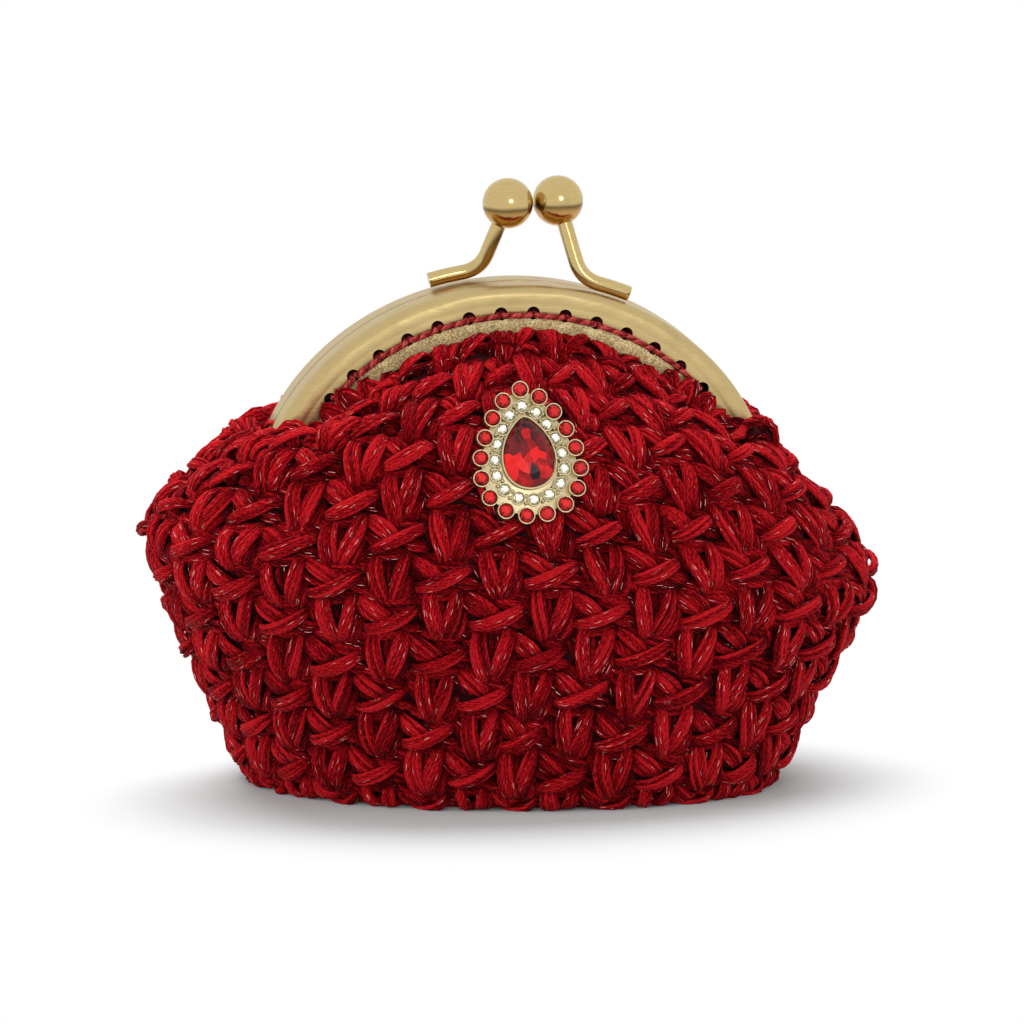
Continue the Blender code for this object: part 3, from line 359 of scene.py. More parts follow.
# %% [markdown]
# ## Where the brooch sits
#
# The yarn has to stay behind the brooch, so the brooch's place comes first. The ring of red stones
# gives its plane, the first stone its upward direction, and the rest follows from these two.

# %% The brooch's own axes, from the ring of red stones
STONE_FLOOR = 0.62
FIRST_STONE_ABOVE = 10.5


def cad_points(name):
    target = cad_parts[name]
    return np.array([target.matrix_world @ corner.co for corner in target.data.vertices]) / MM


def local(spots):
    """Places in the brooch's own axes: rightward, upward and outward from its middle."""
    return (spots - ORIGIN) @ BROOCH_AXES.T


red_names = [f"red_stone_{k:02d}" for k in range(1, 18)]
clear_names = [f"clear_stone_{k:02d}" for k in range(1, 17)]
red_spots = np.array([cad_points(name).mean(0) for name in red_names])
clear_spots = np.array([cad_points(name).mean(0) for name in clear_names])
upward = unit(red_spots[0] - red_spots.mean(0))
outward = np.linalg.svd(red_spots - red_spots.mean(0))[2][2]
outward *= -np.sign(outward[1])
BROOCH_AXES = np.stack([np.cross(upward, outward), upward, outward])
SEAT = (cad_points("red_stone_01") @ outward).min() - STONE_FLOOR
ORIGIN = red_spots[0] - upward * FIRST_STONE_ABOVE
ORIGIN += outward * (SEAT - ORIGIN @ outward)
PLACE = Matrix.Translation(Vector(ORIGIN) * MM) @ Matrix(BROOCH_AXES.T.tolist()).to_4x4()
print("brooch at", ORIGIN.round(1), "facing", outward.round(2))

# %% [markdown]
# ## The stitches
#
# The pattern is a checkerboard. One kind of cell holds two upright bundles that spread at the top and
# meet in a dark hollow at the bottom. The other holds a bar: a lump from the upper left dives under
# a second bundle that climbs from the lower left to the upper right. Thinner bundles fill the gaps
# behind both. Each bundle is written as (across in columns, up in rows, out in millimetres), and
# then bent over the bag's surface.

# %% The bundles of one cell
ROW = 7.2
FIRST_ROW = 4.6
FIRST_COLUMN = 2.0
YARN_DEPTH = 1.3

LEG_LEFT = (
    (-0.21, 0.72, -1.7), (-0.245, 0.5, -0.1), (-0.225, 0.2, 0.55), (-0.155, -0.12, 0.65),
    (-0.07, -0.42, 0.2), (-0.02, -0.7, -1.4),
)
LEG_RIGHT = (
    (0.25, 0.72, -1.7), (0.235, 0.5, -0.1), (0.2, 0.2, 0.45), (0.15, -0.1, 0.45),
    (0.115, -0.36, 0), (0.1, -0.62, -1.4),
)
LEG_SHORT = (
    (0.45, 0.12, -1.5), (0.41, -0.1, -0.6), (0.36, -0.28, -0.3), (0.3, -0.46, -0.5), (0.24, -0.62, -1.3),
)
LEG_BACK = ((0.0, 0.62, -2.3), (0.0, 0.4, -1.9), (0.0, 0.15, -1.4), (0.02, -0.05, -1.3), (0.05, -0.3, -1.5))
LEG_SIDE = (
    (-0.62, 0.42, -1.5), (-0.5, 0.36, -1.0), (-0.42, 0.24, -0.9), (-0.36, 0.06, -0.95), (-0.3, -0.14, -1.4),
)
BAR_LUMP = (
    (-0.64, 0.50, -1.6), (-0.53, 0.44, -0.5), (-0.38, 0.34, 0.1), (-0.2, 0.2, 0.15),
    (-0.04, 0.06, -0.3), (0.1, -0.08, -1.3),
)
BAR_CROSS = (
    (-0.54, -0.2, -1.1), (-0.37, -0.19, 0.3), (-0.13, -0.12, 1.0), (0.12, -0.01, 1.1),
    (0.34, 0.11, 0.7), (0.54, 0.2, -0.9),
)
BAR_UPPER = (
    (-0.52, 0.74, -1.6), (-0.32, 0.64, -0.95), (-0.08, 0.53, -0.75), (0.22, 0.46, -0.7), (0.52, 0.38, -1.5),
)
BAR_CORNER = (
    (0.12, 0.66, -1.5), (0.3, 0.62, -0.95), (0.46, 0.56, -0.85), (0.6, 0.48, -1.0), (0.74, 0.36, -1.6),
)
BAR_MIDDLE = (
    (-0.16, 0.34, -1.5), (0.02, 0.29, -0.8), (0.2, 0.26, -0.6), (0.4, 0.22, -0.75), (0.62, 0.14, -1.5),
)
BAR_RIGHT = (
    (0.16, -0.02, -1.3), (0.3, -0.1, -0.75), (0.42, -0.15, -0.6), (0.54, -0.2, -0.75), (0.66, -0.28, -1.4),
)
BAR_LOWER = (
    (-0.62, -0.3, -1.6), (-0.4, -0.36, -0.95), (-0.12, -0.39, -0.8), (0.16, -0.4, -0.8), (0.5, -0.42, -1.5),
)
BAR_FOOT = (
    (-0.68, 0.36, -1.5), (-0.52, 0.22, -1.0), (-0.38, 0.08, -0.8), (-0.2, 0.0, -0.75), (0.02, -0.06, -1.3),
)
LIP_EDGE = (
    (-0.62, -0.2, -0.9), (-0.36, -0.13, 0.1), (-0.1, -0.1, 0.35), (0.16, -0.13, 0.3),
    (0.4, -0.16, 0), (0.64, -0.24, -0.9),
)

# Shape, number of strands, half width, half thickness, strand radius, twist
POSTS = ((LEG_LEFT, 6, 1.15, 0.6, 0.35, 1.1), (LEG_RIGHT, 6, 1.1, 0.6, 0.35, -1.0))
BEHIND_POSTS = (
    (LEG_BACK, 3, 1.3, 0.3, 0.46, 0.5),
    (LEG_SHORT, 4, 0.85, 0.4, 0.36, 0.9),
    (LEG_SIDE, 3, 0.7, 0.3, 0.4, 0.7),
)
BARS = ((BAR_LUMP, 6, 1.15, 0.55, 0.35, -1.2), (BAR_CROSS, 6, 1.0, 0.6, 0.34, 1.3))
ABOVE_BARS = (
    (BAR_UPPER, 4, 0.95, 0.35, 0.38, 0.9),
    (BAR_CORNER, 3, 0.8, 0.3, 0.38, -0.8),
    (BAR_MIDDLE, 4, 0.9, 0.35, 0.38, -0.9),
)
BELOW_BARS = (
    (BAR_RIGHT, 4, 0.85, 0.35, 0.38, 0.8),
    (BAR_LOWER, 4, 0.9, 0.35, 0.38, 0.8),
    (BAR_FOOT, 3, 0.75, 0.3, 0.4, 0.8),
)
EDGE = (LIP_EDGE, 4, 0.7, 0.45, 0.38, 1.2)

# Kind of piece, how much painted shade darkens it, and its bundles
BEHIND = 0.38
EDGE_SHADE = 0.2
POST_CELL = (("posts", 0, POSTS), ("behind_posts", BEHIND, BEHIND_POSTS))
BAR_CELL = (("bars", 0, BARS), ("above_bars", BEHIND, ABOVE_BARS), ("below_bars", BEHIND, BELOW_BARS))
for title, cell in (("posts", POST_CELL), ("bars", BAR_CELL)):
    print("bundles in a cell of", title, sum(len(shapes) for _, _, shapes in cell))

# %% One bundle of strands
STEPS = 9
T = np.linspace(0, 1, STEPS)
# 0 at the ends of a strand and 1 in its middle
MIDDLE = np.sin(np.pi * T)
BUNDLE_SHIFT = (0.026, 0.036, 0.14)
STRAND_BOW = (0.09, 0.07)
# Painted shade that darkens every strand towards its ends
END_SHADE = 0.6


def along_curve(controls, steps):
    """Points on a smooth curve through the control points."""
    controls = np.array(controls, float)
    ends = [2 * controls[0] - controls[1]], [2 * controls[-1] - controls[-2]]
    padded = np.concatenate([ends[0], controls, ends[1]])
    x = np.linspace(0, len(controls) - 1 - 1e-6, steps)
    i = x.astype(int)
    t = (x - i)[:, None]
    a, b, c, d = padded[i], padded[i + 1], padded[i + 2], padded[i + 3]
    return 0.5 * (2 * b + (c - a) * t + (2 * a - 5 * b + 4 * c - d) * t**2 + (3 * b - a - 3 * c + d) * t**3)


def centre_line(cell, controls):
    """The middle of a bundle on the bag, with the way out and the way across at each point."""
    column, row = cell
    centre = along_curve(controls, STEPS) + RANDOM.normal(0, 1, 3) * BUNDLE_SHIFT
    share = (column + centre[:, 0]) / COLUMNS + FIRST_COLUMN / GIRTH
    lip = lip_height(share)
    up = lip + ROW * centre[:, 1] if row is None else FIRST_ROW + ROW * (row + centre[:, 1])
    tucked = smooth((up - lip + 3) / 3)
    normal = unit(look_up(NORMALS, share, up), 1e-6)
    out = centre[:, 2] - YARN_DEPTH * (1 - tucked) + 0.1 * tucked
    spot = look_up(TABLE, share, up) + normal * out[:, None]
    return spot, normal, unit(np.cross(np.gradient(spot, axis=0), normal), 1e-6)


def bundle(cell, depth, controls, count, half_width, half_thick, radius, twist):
    """The strands of one bundle in cell (column, row): paths, normals, radii and tones.

    Without a row the bundle lies along the lip. Depth darkens it, as light hardly reaches those that
    lie behind the others.
    """
    spot, normal, side = centre_line(cell, controls)
    swell = 0.6 + 0.4 * MIDDLE**0.9
    shaded = -depth - END_SHADE * (1 - MIDDLE**0.6)
    wide = half_width * RANDOM.uniform(0.85, 1.15)
    turn = twist * RANDOM.uniform(0.7, 1.3)
    paths, radii, tones = [], [], []
    for k in range(count):
        angle = math.pi * (0.04 + 0.92 * (k + 0.5) / count) + turn * (T - 0.5)
        bow = RANDOM.normal(0, 1, 2) * STRAND_BOW
        across = np.cos(angle) * wide * swell + bow[0] * MIDDLE
        lift = np.sin(angle) * half_thick * swell + bow[1] * MIDDLE
        paths.append(spot + side * across[:, None] + normal * lift[:, None])
        radii.append(radius * (0.8 + 0.2 * MIDDLE) * RANDOM.uniform(0.92, 1.08))
        tones.append(RANDOM.uniform(0, 1) + shaded)
    return np.array(paths), np.repeat(normal[None], count, 0), np.array(radii), np.array(tones)


# %% Lay every cell, front and rear
ROWS = range(-1, 13)
# Half width and half height of what the brooch covers, in millimetres
BROOCH_COVER = (8.6, 11.4)


def lay_stitches():
    kinds = {}
    for column in range(COLUMNS):
        share = column / COLUMNS + FIRST_COLUMN / GIRTH
        place = "front" if math.sin(share * 2 * math.pi - math.pi / 2) < 0 else "rear"
        lip = float(lip_height(np.array([share]))[0])
        for row in ROWS:
            if FIRST_ROW + ROW * (row - 0.7) > lip:
                continue
            for kind, depth, shapes in POST_CELL if (column + row) % 2 == 0 else BAR_CELL:
                laid = kinds.setdefault(f"{place}_{kind}", [])
                laid.extend(bundle((column, row), depth, *shape) for shape in shapes)
        kinds[f"{place}_behind_posts"].append(bundle((column, None), EDGE_SHADE, *EDGE))
    return kinds


def behind_brooch(paths, radii):
    """Pushes strands that would poke through the brooch back behind it."""
    here = local(paths)
    inside = (here[..., 0] / BROOCH_COVER[0]) ** 2 + (here[..., 1] / BROOCH_COVER[1]) ** 2 < 1
    over = np.where(inside & (here[..., 2] > -5), np.maximum(here[..., 2] + radii + 0.1, 0), 0)
    return paths - over[..., None] * outward


def join_strands(name, parts):
    """One mesh of all the strands, kept behind the brooch and above the table."""
    paths, normals, radii, tones = (np.concatenate(each) for each in zip(*parts))
    if "front" in name:
        paths = behind_brooch(paths, radii)
    paths[..., 2] = np.maximum(paths[..., 2], radii)
    return strands_mesh(name, paths, normals, radii, tones)


crochet = {kind: join_strands(f"crochet_{kind}", parts) for kind, parts in lay_stitches().items()}
for piece in crochet.values():
    print(piece.name, sum(len(face.vertices) - 2 for face in piece.data.polygons), "triangles")

# %% [markdown]
# Near both ends of the plate the top loops ride up over its lip, as far as the holes. They move with
# the plate, so they are separate pieces.

# %% Loops over the ends of the lip
LOOP_ANGLES = np.arange(23.5, 56, 3.1)
LOOP_STRANDS = 5
LOOP_LEAN = math.radians(1.5)


def lip_loop(k, degrees, left, side):
    """The strands of the kth loop on one end of a plate."""
    angle = math.radians(degrees)
    reach = float(plate_depth(angle))
    over_lip = float(smooth((degrees - 37) / 18))
    top = mix(HOLE_INSET + 0.2, reach + 0.2, over_lip) + RANDOM.uniform(-0.2, 0.3)
    lean = (1 if k % 2 else -0.7) * LOOP_LEAN
    place = along_curve((
        (-lean, reach + 3.4, 0.6), (-0.6 * lean, reach + 2.2, 2.7), (0, mix(top, reach, 0.7) + 0.6, 2.4),
        (0.7 * lean, top + 0.6, 1.5), (1.2 * lean, top + 0.1, 0.6), (1.4 * lean, top + 0.7, -0.2),
    ), STEPS)
    at = np.pi - angle - place[:, 0] if left else angle + place[:, 0]
    spot = arch_point(at, place[:, 1], side * (RIM_DEPTH + place[:, 2]))
    normal = np.tile((0.0, side, 0.0), (STEPS, 1))
    across = unit(np.cross(np.gradient(spot, axis=0), normal))
    swell = 0.6 + 0.4 * MIDDLE
    paths, tones = [], []
    for strand in range(LOOP_STRANDS):
        turn = math.pi * (0.08 + 0.84 * strand / (LOOP_STRANDS - 1)) + 0.9 * (T - 0.5)
        sideways = across * (1.15 * np.cos(turn) * swell)[:, None]
        paths.append(spot + sideways + normal * (np.sin(turn) * 0.5 * swell)[:, None])
        # Painted shade that darkens each strand of the loop towards its ends
        tones.append(RANDOM.uniform(0, 1) - 0.5 * (1 - MIDDLE**0.6))
    radii = np.repeat([0.34 * (0.8 + 0.2 * MIDDLE)], LOOP_STRANDS, 0)
    return np.array(paths), np.repeat(normal[None], LOOP_STRANDS, 0), radii, np.array(tones)


def lip_loops(name, side):
    parts = [
        lip_loop(k, degrees, left, side)
        for left in (False, True)
        for k, degrees in enumerate(LOOP_ANGLES)
    ]
    return join_strands(name, parts)


front_loops, rear_loops = lip_loops("front_lip_loops", -1), lip_loops("rear_lip_loops", 1)
print("loops over the lip:", len(front_loops.data.polygons), "faces each side")

# %% [markdown]
# ## The sole
#
# The sole is worked in rounds. It is rarely seen, so each round is one long bundle that follows an
# oval, from the base edge to the middle.

# %% Rounds of the sole
ROUND_STEPS = 97
ROUND_STRANDS = 4
ROUND_WAVES = 24
ROUNDS = np.arange(-5.5, -22, -2.3)
# Past this way in from the base edge, the sole is flat
FLAT_FROM = -3


def round_of_sole(up):
    share = np.linspace(0, 1, ROUND_STEPS)
    spot = look_up(TABLE, share, np.full(ROUND_STEPS, up))
    normal = look_up(NORMALS, share, np.full(ROUND_STEPS, up))
    normal[:] = (0, 0, -1) if up < FLAT_FROM else normal
    normal[-1], spot[-1] = normal[0], spot[0]
    side = unit(np.cross(np.gradient(spot, axis=0), normal), 1e-6)
    paths, tones = [], []
    for k in range(ROUND_STRANDS):
        wave = 0.35 * np.sin(share * 2 * np.pi * ROUND_WAVES + k)
        angle = math.pi * (0.1 + 0.8 * k / (ROUND_STRANDS - 1)) + wave
        out = np.sin(angle) * 0.5 - 1.1
        paths.append(spot + side * (np.cos(angle) * 1.1)[:, None] + normal * out[:, None])
        tones.append(np.full(ROUND_STEPS, RANDOM.uniform(0, 1)))
    radii = np.full((ROUND_STRANDS, ROUND_STEPS), 0.5)
    return np.array(paths), np.repeat(normal[None], ROUND_STRANDS, 0), radii, np.array(tones)


crochet["sole"] = join_strands("crochet_sole", [round_of_sole(up) for up in ROUNDS])
print("sole:", len(ROUNDS), "rounds")

# %% [markdown]
# ## What shows between the stitches
#
# Between the bundles the photo shows only deep shadow. A dark crimson shell of painted shade lies just
# under the yarn and closes every gap, and a maroon satin lining covers the inside. Both are read from
# the same table, so they follow the bag exactly.

# %% Small helpers for editing
def deselect():
    bpy.ops.object.select_all(action="DESELECT")


def pick(*pieces):
    """Selects only these pieces, and makes the first one active."""
    deselect()
    for piece in pieces:
        piece.select_set(True)
    bpy.context.view_layer.objects.active = pieces[0]


def apply_all(piece):
    pick(piece)
    for modifier in list(piece.modifiers):
        bpy.ops.object.modifier_apply(modifier=modifier.name)


def join(pieces):
    pick(*pieces)
    bpy.ops.object.join()
    return bpy.context.object


def edit_all():
    bpy.ops.object.mode_set(mode="EDIT")
    bpy.ops.mesh.select_all(action="SELECT")


def copy_of(model, name=None):
    """A copy of an object with a mesh of its own."""
    piece = model.copy()
    piece.data = model.data.copy()
    if name:
        piece.name = piece.data.name = name
    bpy.context.scene.collection.objects.link(piece)
    return piece


# %% Shells under the yarn
SHADE_SHELL_DEPTH, LINING_DEPTH = 3.1, 4.3
SHELL_FLOOR = 0.9


def shell(name, depth, low, high_share, turns, rows, thickness):
    """A closed bowl under the bag's surface, from a height up to a share of the wall."""
    shares = np.arange(turns) / turns
    lip = lip_height(shares)
    points = []
    for k in range(rows + 1):
        up = mix(low, lip * high_share, k / rows)
        near_lip = smooth((up - lip + 9) / 9)[:, None]
        normal = unit(look_up(NORMALS, shares, up))
        points.append(look_up(TABLE, shares, up) - normal * mix(depth, 0.35 * depth, near_lip))
    points = np.array(points)
    points[..., 2] = np.maximum(points[..., 2], SHELL_FLOOR)
    faces = [
        (k * turns + i, k * turns + (i + 1) % turns, (k + 1) * turns + (i + 1) % turns, (k + 1) * turns + i)
        for k in range(rows)
        for i in range(turns)
    ]
    made = add_mesh(name, points, [*faces, tuple(range(turns))[::-1]])
    made.data.shade_smooth()
    solid = made.modifiers.new("thickness", "SOLIDIFY")
    solid.thickness = thickness * MM
    solid.offset = -1
    apply_all(made)
    return made


# The first shell is painted shade: a near-black sheet that fills the gaps between the bundles
shade_shell = shell("painted_shade_shell", SHADE_SHELL_DEPTH, -2.0, 1.05, 128, 30, 0.6)
lining = shell("satin_lining", LINING_DEPTH, 0.5, 0.97, 96, 18, 0.5)
print("shells:", len(shade_shell.data.polygons), "and", len(lining.data.polygons), "faces")

# %% [markdown]
# ## The metal frame
#
# Each half is one strip of pale gold sheet: a rim, a tight fold, a faint crease, and a flat plate with
# a row of sewing holes. A spin gives only a round arch and this one is a squashed oval, so the
# strip's section is placed step by step along the arch, then the holes are cut with a Boolean.

# %% The strip's section and its sweep
ARCH_STEPS = 160
NOTCH_START, NOTCH_END = math.radians(27), math.radians(10)
NOTCH_DEPTH = 3.3
HALF_SEAM = 0.15
FOLD_RADIUS = 1.9
FOLD_STEPS = 8
LEG = 3.0
# The crease beside the fold, as (inward, how far it sinks)
CREASE = ((2.75, 0.01), (3.0, 0.05), (3.25, 0.03), (3.6, 0.02))


def strip_profile(reach, notch):
    """(inward, depth) of the rim, fold, crease and plate, outside first and then back inside."""
    fold = [math.pi / 2 * k / FOLD_STEPS for k in range(FOLD_STEPS + 1)]
    centre, inside = RIM_DEPTH - FOLD_RADIUS, FOLD_RADIUS - SHEET
    outer = [(FOLD_RADIUS * (1 - math.cos(a)), centre + FOLD_RADIUS * math.sin(a)) for a in fold[:-1]]
    outer += [(inward, RIM_DEPTH - sunk) for inward, sunk in CREASE]
    lip = [(0.25, 0), (0.05, 0.12), (0, 0.3), (0, SHEET - 0.1), (0.15, SHEET)]
    outer += [(reach - short, RIM_DEPTH - down) for short, down in lip]
    inner = [(FOLD_RADIUS - inside * math.cos(a), centre + inside * math.sin(a)) for a in reversed(fold)]
    return [(0, notch), *outer, *inner, (SHEET, notch)]


def sweep_strip(name, side):
    sections = []
    for k in range(ARCH_STEPS + 1):
        angle = math.pi * k / ARCH_STEPS
        from_hinge = min(angle, math.pi - angle)
        cut = float(smooth((NOTCH_START - from_hinge) / (NOTCH_START - NOTCH_END)))
        profile = np.array(strip_profile(float(plate_depth(angle)), mix(HALF_SEAM, NOTCH_DEPTH, cut)))
        sections.append(arch_point(angle, profile[:, 0], side * profile[:, 1]))
    drop = np.array([0, 0, LEG])
    sections = [sections[0] - drop, *sections, sections[-1] - drop]
    count, total = len(sections[0]), len(sections) * len(sections[0])
    faces = [tuple(range(count)), tuple(range(total - count, total))[::-1]]
    for row in range(len(sections) - 1):
        for k in range(count):
            j = (k + 1) % count
            faces.append((row * count + k, (row + 1) * count + k, (row + 1) * count + j, row * count + j))
    made = add_mesh(name, sections, faces)
    pick(made)
    edit_all()
    bpy.ops.mesh.normals_make_consistent(inside=False)
    bpy.ops.object.mode_set(mode="OBJECT")
    return made


# %% Cut the sewing holes
def hole_angles():
    angles = np.linspace(0, np.pi, FINE)
    walked = walk(arch_point(angles, HOLE_INSET, 0))
    start = (walked[-1] - HOLE_PITCH * (HOLE_COUNT - 1)) / 2
    return np.interp(start + HOLE_PITCH * np.arange(HOLE_COUNT), walked, angles)


def cut_holes(strip, side):
    cutters = []
    for angle in hole_angles():
        spot = arch_point(angle, HOLE_INSET, side * RIM_DEPTH) * MM
        deselect()
        bpy.ops.mesh.primitive_cylinder_add(
            vertices=28, radius=HOLE_RADIUS * MM, depth=4 * MM, location=spot, rotation=(math.pi / 2, 0, 0)
        )
        cutters.append(bpy.context.object)
    tool = join(cutters)
    cut = strip.modifiers.new("holes", "BOOLEAN")
    cut.operation = "DIFFERENCE"
    cut.object = tool
    cut.solver = "EXACT"
    apply_all(strip)
    bpy.data.objects.remove(tool)
    pick(strip)
    bpy.ops.object.shade_smooth_by_angle(angle=math.radians(35))


front_strip, rear_strip = sweep_strip("front_frame_strip", -1), sweep_strip("rear_frame_strip", 1)
cut_holes(front_strip, -1)
cut_holes(rear_strip, 1)
print("frame halves:", len(front_strip.data.polygons), "faces each")

# %% [markdown]
# ## Materials
#
# The yarn is dull crimson wool with a fine ply, a soft sheen and short pink-gold glints from a metallic
# thread. Its pattern reads the UV map that runs along each strand.

# %% Small helpers for node trees
def fill(tree, made, **values):
    """Fills a node's inputs: a socket is linked, and anything else is a constant."""
    for key, value in values.items():
        feed(tree, made.inputs[key.replace("_", " ")], value)


def feed(tree, socket, value):
    if isinstance(value, bpy.types.NodeSocket):
        tree.links.new(value, socket)
    else:
        socket.default_value = value


def node(tree, kind, **values):
    """Adds a node and sets its properties and inputs."""
    made = tree.nodes.new("ShaderNode" + kind)
    for key, value in values.items():
        if hasattr(made, key):
            setattr(made, key, value)
        else:
            fill(tree, made, **{key: value})
    return made


def maths(tree, operation, *values):
    made = node(tree, "Math", operation=operation)
    for socket, value in zip(made.inputs, values):
        feed(tree, socket, value)
    return made.outputs[0]


def ramp(tree, source, stops):
    """Colours, or greys as plain numbers, at places along the source's values."""
    made = node(tree, "ValToRGB", Fac=source)
    elements = made.color_ramp.elements
    while len(elements) < len(stops):
        elements.new(0.5)
    for element, (place, colour) in zip(elements, stops):
        element.position = place
        element.color = (*(colour if isinstance(colour, tuple) else (colour,) * 3), 1)
    return made.outputs["Color"]


def noise(tree, vector, scale, detail, **values):
    return node(tree, "TexNoise", **values, Vector=vector, Scale=scale, Detail=detail).outputs["Fac"]


def stretched(tree, vector, scale, **values):
    return node(tree, "Mapping", Vector=vector, Scale=scale, **values).outputs[0]


def attribute(tree, name):
    return node(tree, "Attribute", attribute_name=name).outputs["Fac"]


def own_coords(tree):
    return node(tree, "TexCoord").outputs["Object"]


def mixed_colour(tree, share, first, second):
    return node(tree, "Mix", data_type="RGBA", Factor=share, A=first, B=second).outputs["Result"]


def remap(tree, value, low, high):
    return node(tree, "MapRange", Value=value, To_Min=low, To_Max=high).outputs["Result"]


def bump(tree, height, strength, distance, **values):
    return node(tree, "Bump", Strength=strength, Distance=distance, Height=height, **values).outputs[0]


def new_material(name):
    material = bpy.data.materials.new(name)
    material.use_nodes = True
    tree = material.node_tree
    return material, tree, tree.nodes["Principled BSDF"]


# %% The yarn
def glint_mask(tree, uv, share):
    """1 on a few short flecks of metallic thread, else 0."""
    flecks = node(tree, "TexVoronoi", Vector=stretched(tree, uv, (15.0, 5.5, 1.0)), Scale=1.0, Randomness=1.0)
    picked = node(tree, "SeparateColor", Color=flecks.outputs["Color"]).outputs[0]
    near = maths(tree, "LESS_THAN", flecks.outputs["Distance"], 0.33)
    return maths(tree, "MULTIPLY", maths(tree, "GREATER_THAN", picked, 1 - share), near)


def yarn_material(name, deep, mid, bright, glint_share):
    material, tree, shader = new_material(name)
    uv = node(tree, "UVMap", uv_map="yarn").outputs["UV"]
    split = node(tree, "SeparateXYZ", Vector=uv).outputs
    # Ply: ridges that climb steeply round the strand
    ply = maths(tree, "MULTIPLY_ADD", split["Y"], 7.5, maths(tree, "MULTIPLY", split["X"], 4.0))
    wave = maths(tree, "SINE", maths(tree, "MULTIPLY", ply, 2 * math.pi))
    fibres = stretched(tree, uv, (9.0, 14.0, 1.0))
    fuzz = noise(tree, fibres, 1.0, 3.0, noise_dimensions="2D", Roughness=0.6)
    value = maths(tree, "MULTIPLY_ADD", wave, 0.11, fuzz)
    # The tone holds a random tone per strand, plus painted shade at strand ends and on the bundles behind
    value = maths(tree, "MULTIPLY_ADD", attribute(tree, "tone"), 0.4, value)
    value = maths(tree, "MULTIPLY_ADD", noise(tree, own_coords(tree), 160.0, 2.0), 0.35, value)
    colour = ramp(tree, value, [(0.50, deep), (0.86, mid), (1.0, bright)])
    glints = glint_mask(tree, uv, glint_share)
    height = maths(tree, "MULTIPLY_ADD", wave, 0.3, fuzz)
    fill(
        tree, shader,
        Base_Color=mixed_colour(tree, glints, colour, (0.90, 0.42, 0.36, 1)),
        Metallic=glints,
        Roughness=remap(tree, glints, 0.78, 0.38),
        Sheen_Weight=0.04,
        Sheen_Roughness=0.4,
        Sheen_Tint=(1.0, 0.2, 0.25, 1),
        Specular_IOR_Level=0.1,
        Specular_Tint=(1.0, 0.35, 0.4, 1),
        Normal=bump(tree, height, 0.9, 0.00012),
    )
    return material


yarn = yarn_material(
    "crimson_yarn", (0.018, 0.0001, 0.0005), (0.165, 0.0009, 0.0028), (0.31, 0.006, 0.009), 0.09
)
for piece in (*crochet.values(), front_loops, rear_loops):
    piece.data.materials.append(yarn)
print(yarn.name, "on", len(crochet) + 2, "pieces")

# %% Cloths
def cloth_material(name, colour, scale, rough):
    material, tree, shader = new_material(name)
    weave = noise(tree, own_coords(tree), scale, 2.0)
    tint = ramp(tree, weave, [(0.35, tuple(c * 0.55 for c in colour)), (0.65, colour)])
    fill(tree, shader, Base_Color=tint, Roughness=rough, Normal=bump(tree, weave, 0.5, 0.0001))
    return material


# Painted shade: the near-black colour of the gaps between the bundles
shade_shell.data.materials.append(cloth_material("painted_shade_yarn", (0.03, 0.0006, 0.0015), 1500.0, 0.95))
lining.data.materials.append(cloth_material("maroon_satin", (0.13, 0.008, 0.014), 2600.0, 0.45))
print("cloths:", shade_shell.data.materials[0].name, lining.data.materials[0].name)

# %% [markdown]
# Pale gold plating over pressed sheet is not perfectly flat: it mirrors the room in soft, wavering
# streaks. A low, wide bump gives the dents, a fine stretched one the scratches.

# %% Bands of the plate, kept as attributes
def write_values(piece, name, values, domain="POINT"):
    layer = piece.data.attributes.new(name, "FLOAT", domain)
    layer.data.foreach_set("value", np.asarray(values, np.float32))


def mark_bands(strip):
    """Writes, for every vertex, the millimetres in from the arch's outside and along it."""
    line = arch_point(np.linspace(-0.05, np.pi + 0.05, 2400), 0, 0)[:, (0, 2)]
    walked = walk(line)
    points = np.empty(len(strip.data.vertices) * 3, np.float32)
    strip.data.vertices.foreach_get("co", points)
    points = points.reshape(-1, 3)[:, (0, 2)] / MM
    nearest = np.array([((line - point) ** 2).sum(1).argmin() for point in points])
    write_values(strip, "inward", np.linalg.norm(points - line[nearest], axis=1))
    write_values(strip, "along", walked[nearest])
    print(strip.name, f"{walked[-1]:.0f} mm along its arch")


mark_bands(front_strip)
mark_bands(rear_strip)

# %% The gold plating
# Half the way along the arch's outside
ARCH_MIDDLE = 67


